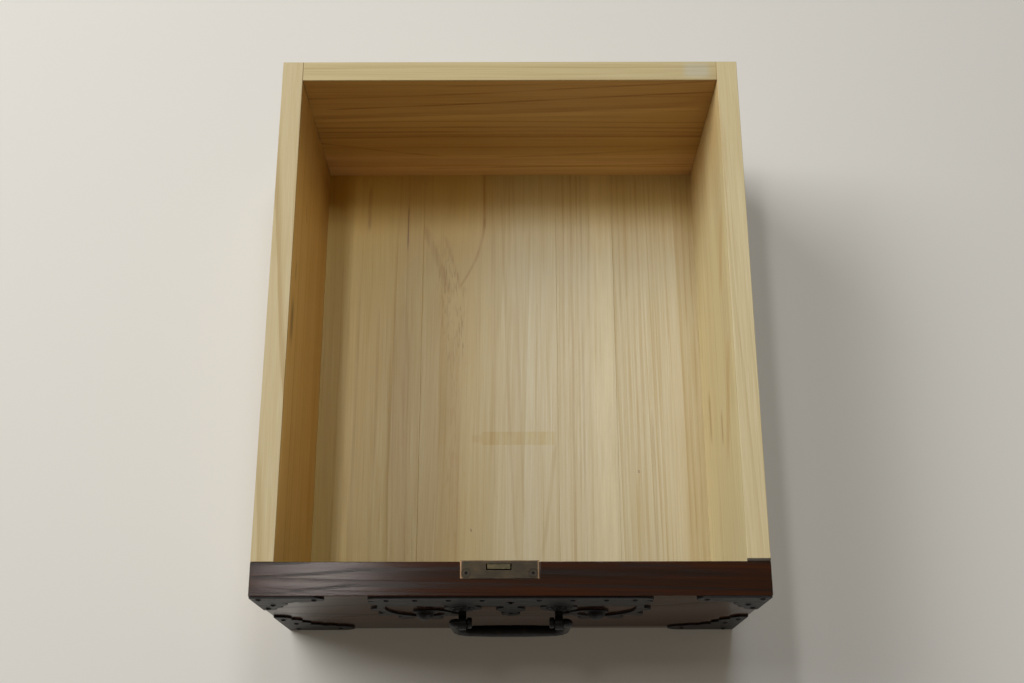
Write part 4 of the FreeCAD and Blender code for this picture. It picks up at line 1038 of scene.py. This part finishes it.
@dataclass
class FrontIrons:
    """Sheet irons of the front with their nails, studs, posts and washers.

    Lengths are in millimetres. The rosette is the profile of a flower washer: radius and height of each point.
    """

    edge: float = 0.45
    post_edge: float = 0.5
    washer_edge: float = 0.25
    nail_rim: float = 0.25
    nail_height: float = 1.5
    nail_shank: float = 1.5
    nail_tilt: float = 5.0
    sink: float = 0.05
    stud_flange: float = 0.7
    stud_height: float = 6.5
    stud_boss: float = 0.90
    petals: int = 12
    petal_foot: float = 5.2
    petal_tip: float = 11.0
    notch: float = 0.13
    hollow: float = 0.55
    face_slack: float = 0.01
    rosette: tuple[tuple[float, float], ...] = (
        (3.4, 0.0), (11.0, 0.0), (11.0, 0.35), (10.6, 0.75), (9.6, 1.25), (8.2, 1.75), (6.8, 2.05), (5.9, 1.85),
        (5.2, 1.75), (4.8, 2.3), (4.2, 2.4), (3.4, 2.3), (3.4, 0.0))
    scatter: random.Random = field(default_factory=lambda: random.Random(11))

    def sheets(self, iron: bpy.types.Material) -> None:
        """Corner irons and centre plate, with softened front edges."""
        nodes = ["centre_plate"] + [f"corner_iron_{level}_{side}" for level in ("top", "bottom")
                                    for side in ("left", "right")]
        for node in nodes:
            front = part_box(node)[0].y + self.face_slack * MM

            def on_face(edge: bmesh.types.BMEdge, limit: float = front) -> bool:
                """Whether an edge lies in the sheet's front."""
                return all(vertex.co.y < limit for vertex in edge.verts)

            piece(f"{node}_sheet", rounded_copy(node, self.edge, chosen=on_face), iron, [node])

    def nails(self, iron: bpy.types.Material) -> None:
        """Small nails, each hammered a little out of true."""
        bm = bmesh.new()
        for low, high in solid_boxes("iron_nails"):
            middle = (low + high) / 2
            face, radius = low.y + self.nail_height, (high.x - low.x) / 2
            swing = self.nail_tilt
            tilt = (self.scatter.uniform(-swing, swing), self.scatter.uniform(-swing, swing))
            profile = dome(radius * self.scatter.uniform(0.93, 1.0), self.nail_height, self.nail_rim, 6)
            turned(bm, profile, 18, facing_front(middle.x, face + self.sink, middle.z, tilt))
            shank = bmesh.ops.create_cube(bm, size=1.0)["verts"]
            bmesh.ops.scale(bm, verts=shank, vec=Vector((self.nail_shank, high.y - face, self.nail_shank)) * MM)
            bmesh.ops.translate(bm, verts=shank, vec=Vector((middle.x, (face + high.y) / 2, middle.z)) * MM)
        piece("nail_heads", bm, iron, ["iron_nails"])

    def studs(self, iron: bpy.types.Material) -> None:
        """Two large domed nails with a thin flange."""
        bm = bmesh.new()
        for low, high in solid_boxes("domed_studs"):
            middle, radius = (low + high) / 2, (high.x - low.x) / 2
            face = low.y + self.stud_height
            boss = dome(radius * self.stud_boss, self.stud_height, self.stud_flange, 12)[2:]
            profile = [(0.0, 0.0), (radius, 0.0), (radius, self.stud_flange * 0.6),
                       (radius * 0.96, self.stud_flange), *boss]
            turned(bm, profile, 48, facing_front(middle.x, face, middle.z))
        piece("stud_domes", bm, iron, ["domed_studs"])

    def rosettes(self, iron: bpy.types.Material) -> None:
        """Flower washers: a raised ring of petals round the post."""
        for side in ("left", "right"):
            node = f"handle_rosette_{side}"
            low, high = (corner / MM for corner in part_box(node))
            middle = (low + high) / 2
            bm = bmesh.new()
            for vertex in turned(bm, self.rosette, 144, Matrix.Identity(4)):
                radius = vertex.co.xy.length / MM
                lobe = abs(math.sin(self.petals / 2 * math.atan2(vertex.co.y, vertex.co.x)))
                share = min(1.0, max(0.0, (radius - self.petal_foot) / (self.petal_tip - self.petal_foot)))
                vertex.co.xy *= 1 - self.notch * share * (1 - lobe ** 0.5)
                vertex.co.z *= 1 - self.hollow * math.sin(math.pi * min(1.0, share * 1.1)) * (1 - lobe ** 0.6)
            bmesh.ops.transform(bm, matrix=facing_front(middle.x, high.y, middle.z), verts=bm.verts[:])
            piece(f"{node}_flower", bm, iron, [node])

    def strips(self, iron: bpy.types.Material) -> None:
        """Posts of the handle and the square washers behind the board."""
        for side in ("left", "right"):
            for node, edge in ((f"handle_post_{side}", self.post_edge), (f"post_washer_{side}", self.washer_edge)):
                piece(f"{node}_iron", rounded_copy(node, edge), iron, [node])

    def build(self) -> None:
        """Build and dress every iron."""
        iron = BlackIron().material("black iron sheet")
        small = BlackIron(dents=5.0, depth=0.08, rough=0.38).material("black iron fittings")
        self.sheets(iron)
        self.nails(small)
        self.studs(small)
        self.rosettes(small)
        self.strips(small)


@dataclass
class DropHandle:
    """Bail handle: a bar forged to a swelling grip, with a pin and a knob at each end. Lengths in millimetres."""

    pin_start: float = 35.0
    knob_length: float = 4.0
    knob: float = 4.4
    pin: float = 3.0
    shoulder: float = 42.0
    arm: float = 3.4
    reach: float = 46.5
    toe_in: float = 2.0
    drop: float = 52.0
    upper_bend: float = 4.1
    lower_bend: float = 11.0
    pull: float = 0.55
    bend_steps: int = 14
    arm_steps: int = 12
    grip_steps: int = 18
    grip: float = 4.6

    def route(self) -> list[tuple[float, float, float]]:
        """Half of the bar: distance from the middle, height from the pivot and radius of each station."""
        inner = self.pin_start - self.knob_length
        stations = [(inner - 0.15, 0, self.knob * 0.55), (inner, 0, self.knob * 0.82),
                    (inner + 0.7, 0, self.knob), (self.pin_start - 0.9, 0, self.knob),
                    (self.pin_start - 0.2, 0, self.knob * 0.86), (self.pin_start, 0, self.pin),
                    (self.shoulder - 0.1, 0, self.pin), (self.shoulder + 0.1, 0, self.arm * 1.06)]
        corners = [Vector((self.shoulder, 0)), Vector((self.reach, 0)),
                   Vector((self.reach - self.toe_in, -self.drop)), Vector((0, -self.drop))]
        for before, corner, after, bend in zip(corners, corners[1:], corners[2:],
                                               (self.upper_bend, self.lower_bend)):
            start = corner + (before - corner).normalized() * bend
            end = corner + (after - corner).normalized() * bend
            bent = geometry.interpolate_bezier(start, start.lerp(corner, self.pull), end.lerp(corner, self.pull), end,
                                               self.bend_steps)
            stations += [(point.x, point.y, self.radius(point.x, point.y)) for point in bent]
            if after is corners[2]:
                straight = range(1, 1 + 2 * self.arm_steps // 3)
                stations += [(*end.lerp(after, step / self.arm_steps), 0) for step in straight]
        last = stations[-1][0]
        stations += [(last * (1 - step / self.grip_steps), -self.drop, 0) for step in range(1, self.grip_steps + 1)]
        return [(x, z, radius or self.radius(x, z)) for x, z, radius in stations]

    def radius(self, x: float, z: float) -> float:
        """Radius of the bar at a point: it swells at its lower bends and in the middle of the grip."""
        low = min(1.0, max(0.0, -z / self.drop))
        swell = (self.grip - self.arm) * (1 - (x / (self.reach + 4)) ** 2) if low > 0.9 else 0.0
        return self.arm + 0.35 * low ** 3 + max(0.0, swell)

    def build(self) -> None:
        """Build and dress the handle."""
        joint = next(joint for joint in frame["joints"] if joint["name"] == "handle_hinge")
        pivot = Vector(joint["pos_m"])
        half = self.route()
        path = [(-x, z, radius) for x, z, radius in half] + [station for station in half[-2::-1]]
        stations = [(pivot + Vector((x, 0, z)) * MM, radius * MM) for x, z, radius in path]
        bm = bmesh.new()
        swept(bm, stations)
        bar = BlackIron(dents=6.0, depth=0.10, rough=0.36).material("black iron bar")
        piece("bail_forged", bm, bar, ["bail_handle"], Body.HANDLE, 60.0)


@dataclass
class DrawerLock:
    """Half-mortise lock: brass plate with its lip, bolt, screws and works."""

    copper: Colour = (0.34, 0.20, 0.11)
    gap_shade: Colour = (0.018, 0.013, 0.009)
    head: float = 3.0
    lip_level: float = 190.0
    plate_edge: float = 0.3
    bolt_edge: float = 0.4
    screw_edge: float = 0.18
    shortest: float = 3.0
    recess: float = 1.5

    def screw_places(self) -> list[tuple[float, float]]:
        """X and Y, in millimetres, of the screws through the lip, which point down."""
        boxes = [box for box in solid_boxes("lock_screws") if box[1].z > self.lip_level]
        return [((low.x + high.x) / 2, (low.y + high.y) / 2) for low, high in boxes]

    def plate_finish(self) -> bpy.types.Material:
        """Dull brass, rubbed to copper along the lip's ends and its rear edge, with painted shade in the gap round its
        screws.
        """
        low, high = (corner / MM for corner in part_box("lock_plate"))
        marks: list[Stroke | Halo] = [
            Stroke((Axis.X, Axis.Z), (end, high.z), (0.2, 1.0), (1.7, 1.5), self.copper, strength)
            for end, strength in ((low.x, 0.75), (high.x, 0.5))]
        marks.append(Stroke((Axis.Y, Axis.Z), (high.y, high.z), (0.1, 1.2), (0.9, 1.5), self.copper, 0.35))
        marks.append(Stroke(PLAN, (low.x, low.y), (0.5, 0.6), (2.6, 2.0), self.copper, 0.5))
        # Painted shade in the gap round each screw head.
        marks += [Halo(PLAN, place, self.head + 0.3, 0.15, 0.5, self.gap_shade, 0.85) for place in self.screw_places()]
        return AgedBrass(marks=tuple(marks)).material("aged brass plate")

    def build(self) -> None:
        """Build and dress the lock."""
        bm = rounded_copy("lock_plate", self.plate_edge, self.shortest)
        piece("lock_plate_brass", bm, self.plate_finish(), ["lock_plate"])
        bm = rounded_copy("lock_bolt", self.bolt_edge, self.shortest)
        bolt = AgedBrass((0.045, 0.037, 0.020), (0.12, 0.09, 0.045)).material("bolt brass")
        piece("lock_bolt_brass", bm, bolt, ["lock_bolt"], Body.BOLT)
        bm = rounded_copy("lock_screws", self.screw_edge, chosen=lambda edge: edge.calc_length() < self.recess * MM)
        # Painted shade: a dark disc in each screw's recess.
        recess_shade = tuple(Halo(PLAN, place, 0.0, 0.75, 0.55, INK) for place in self.screw_places())
        screws = AgedBrass((0.026, 0.021, 0.015), (0.060, 0.045, 0.029), recess_shade).material("screw heads")
        piece("screw_heads", bm, screws, ["lock_screws"])
        dress(["lock_rivets"], AgedBrass().material("rivet brass"))
        dress(["lock_case", "bolt_spring", "key_pin", "guide_pin"], OiledSteel().material("lock steel"))


# --------------------------------------------------------------------- studio

@dataclass(frozen=True)
class Lamp:
    """Area lamp: its place, its sides in metres, its power in watts, its tint and what it is aimed at."""

    name: str
    place: tuple[float, float, float]
    sides: tuple[float, float]
    power: float
    tint: Colour
    target: tuple[float, float, float] = (0.0, 0.0, 0.1)

    def hang(self) -> None:
        """Put the lamp in the scene."""
        lamp = bpy.data.lights.new(self.name, "AREA")
        lamp.shape = "RECTANGLE"
        lamp.size, lamp.size_y = self.sides
        lamp.energy = self.power
        lamp.color = self.tint
        holder = bpy.data.objects.new(self.name, lamp)
        holder.location = self.place
        holder.rotation_euler = (Vector(self.target) - Vector(self.place)).to_track_quat("-Z", "Y").to_euler()
        bpy.context.scene.collection.objects.link(holder)


@dataclass
class Studio:
    """Pale floor, soft lamps and the camera."""

    floor_size: float = 60.0
    floor_tone: Colour = (0.72, 0.71, 0.69)
    zenith: Colour = (0.130, 0.104, 0.068)
    horizon: Colour = (0.46, 0.45, 0.43)
    horizon_height: float = 0.5
    floor_gap: float = 0.0004
    lamps: tuple[Lamp, ...] = (
        Lamp("key", (-2.00, 1.22, 2.30), (2.10, 1.35), 66.5, (1.0, 0.98, 0.94)),
        Lamp("overhead", (0.25, 0.76, 2.40), (0.4, 0.4), 11.0, (0.88, 0.95, 1.0)),
        Lamp("lantern", (-0.46, 0.66, 2.40), (0.12, 0.80), 7.5, (1.0, 0.98, 0.94), (-0.46, 0.66, 0.0)),
        Lamp("window", (-0.462, 0.11, 2.20), (0.12, 0.24), 1.5, (1.0, 0.99, 0.97), (-0.455, 0.11, 0.0)),
        Lamp("fill", (0.9, -2.3, 0.6), (1.6, 0.8), 6.0, (1.0, 0.98, 0.95)),
    )
    camera_place: tuple[float, float, float] = (0.0017, -0.3811, 1.1786)
    camera_turn: tuple[float, float, float] = (19.679, 0.048, -0.095)
    lens: float = 45.195

    def floor(self) -> None:
        """Large plain floor under the drawer."""
        bm = bmesh.new()
        bmesh.ops.create_grid(bm, x_segments=1, y_segments=1, size=self.floor_size / 2)
        bmesh.ops.translate(bm, verts=bm.verts[:], vec=(0, 0, -self.floor_gap))
        mesh = bpy.data.meshes.new("studio_floor")
        bm.to_mesh(mesh)
        bm.free()
        ground = bpy.data.objects.new("studio_floor", mesh)
        bpy.context.scene.collection.objects.link(ground)
        mesh.materials.append(Shader("studio floor", Base_Color=self.floor_tone, Roughness=0.85).material)

    def light(self) -> None:
        """World, pale at the horizon and dim overhead, and area lamps aimed at the drawer."""
        world = bpy.data.worlds.new("studio")
        world.use_nodes = True
        nodes = Nodes(world.node_tree)
        height = nodes.split(nodes.add("ShaderNodeTexCoord").outputs["Generated"])[2]
        sky = nodes.mix(nodes.ease(height, 0.0, self.horizon_height), self.horizon, self.zenith)
        nodes.feed(nodes.tree.nodes["Background"].inputs["Color"], sky)
        bpy.context.scene.world = world
        for lamp in self.lamps:
            lamp.hang()

    def camera(self) -> None:
        """Camera above the front, looking steeply down into the drawer."""
        data = bpy.data.cameras.new("camera")
        data.lens = self.lens
        data.sensor_width = 36.0
        data.clip_start = 0.01
        holder = bpy.data.objects.new("camera", data)
        holder.location = self.camera_place
        holder.rotation_euler = [math.radians(angle) for angle in self.camera_turn]
        bpy.context.scene.collection.objects.link(holder)
        bpy.context.scene.camera = holder

    def build(self) -> None:
        """Make the studio."""
        self.floor()
        self.light()
        self.camera()
        bpy.context.scene.view_settings.view_transform = "Standard"


def main() -> None:
    """Build the whole scene."""
    logging.basicConfig(level=logging.INFO, format="%(message)s")
    for part in (WoodBox(), FrontIrons(), DropHandle(), DrawerLock(), Studio()):
        part.build()


if __name__ == "__main__":
    main()
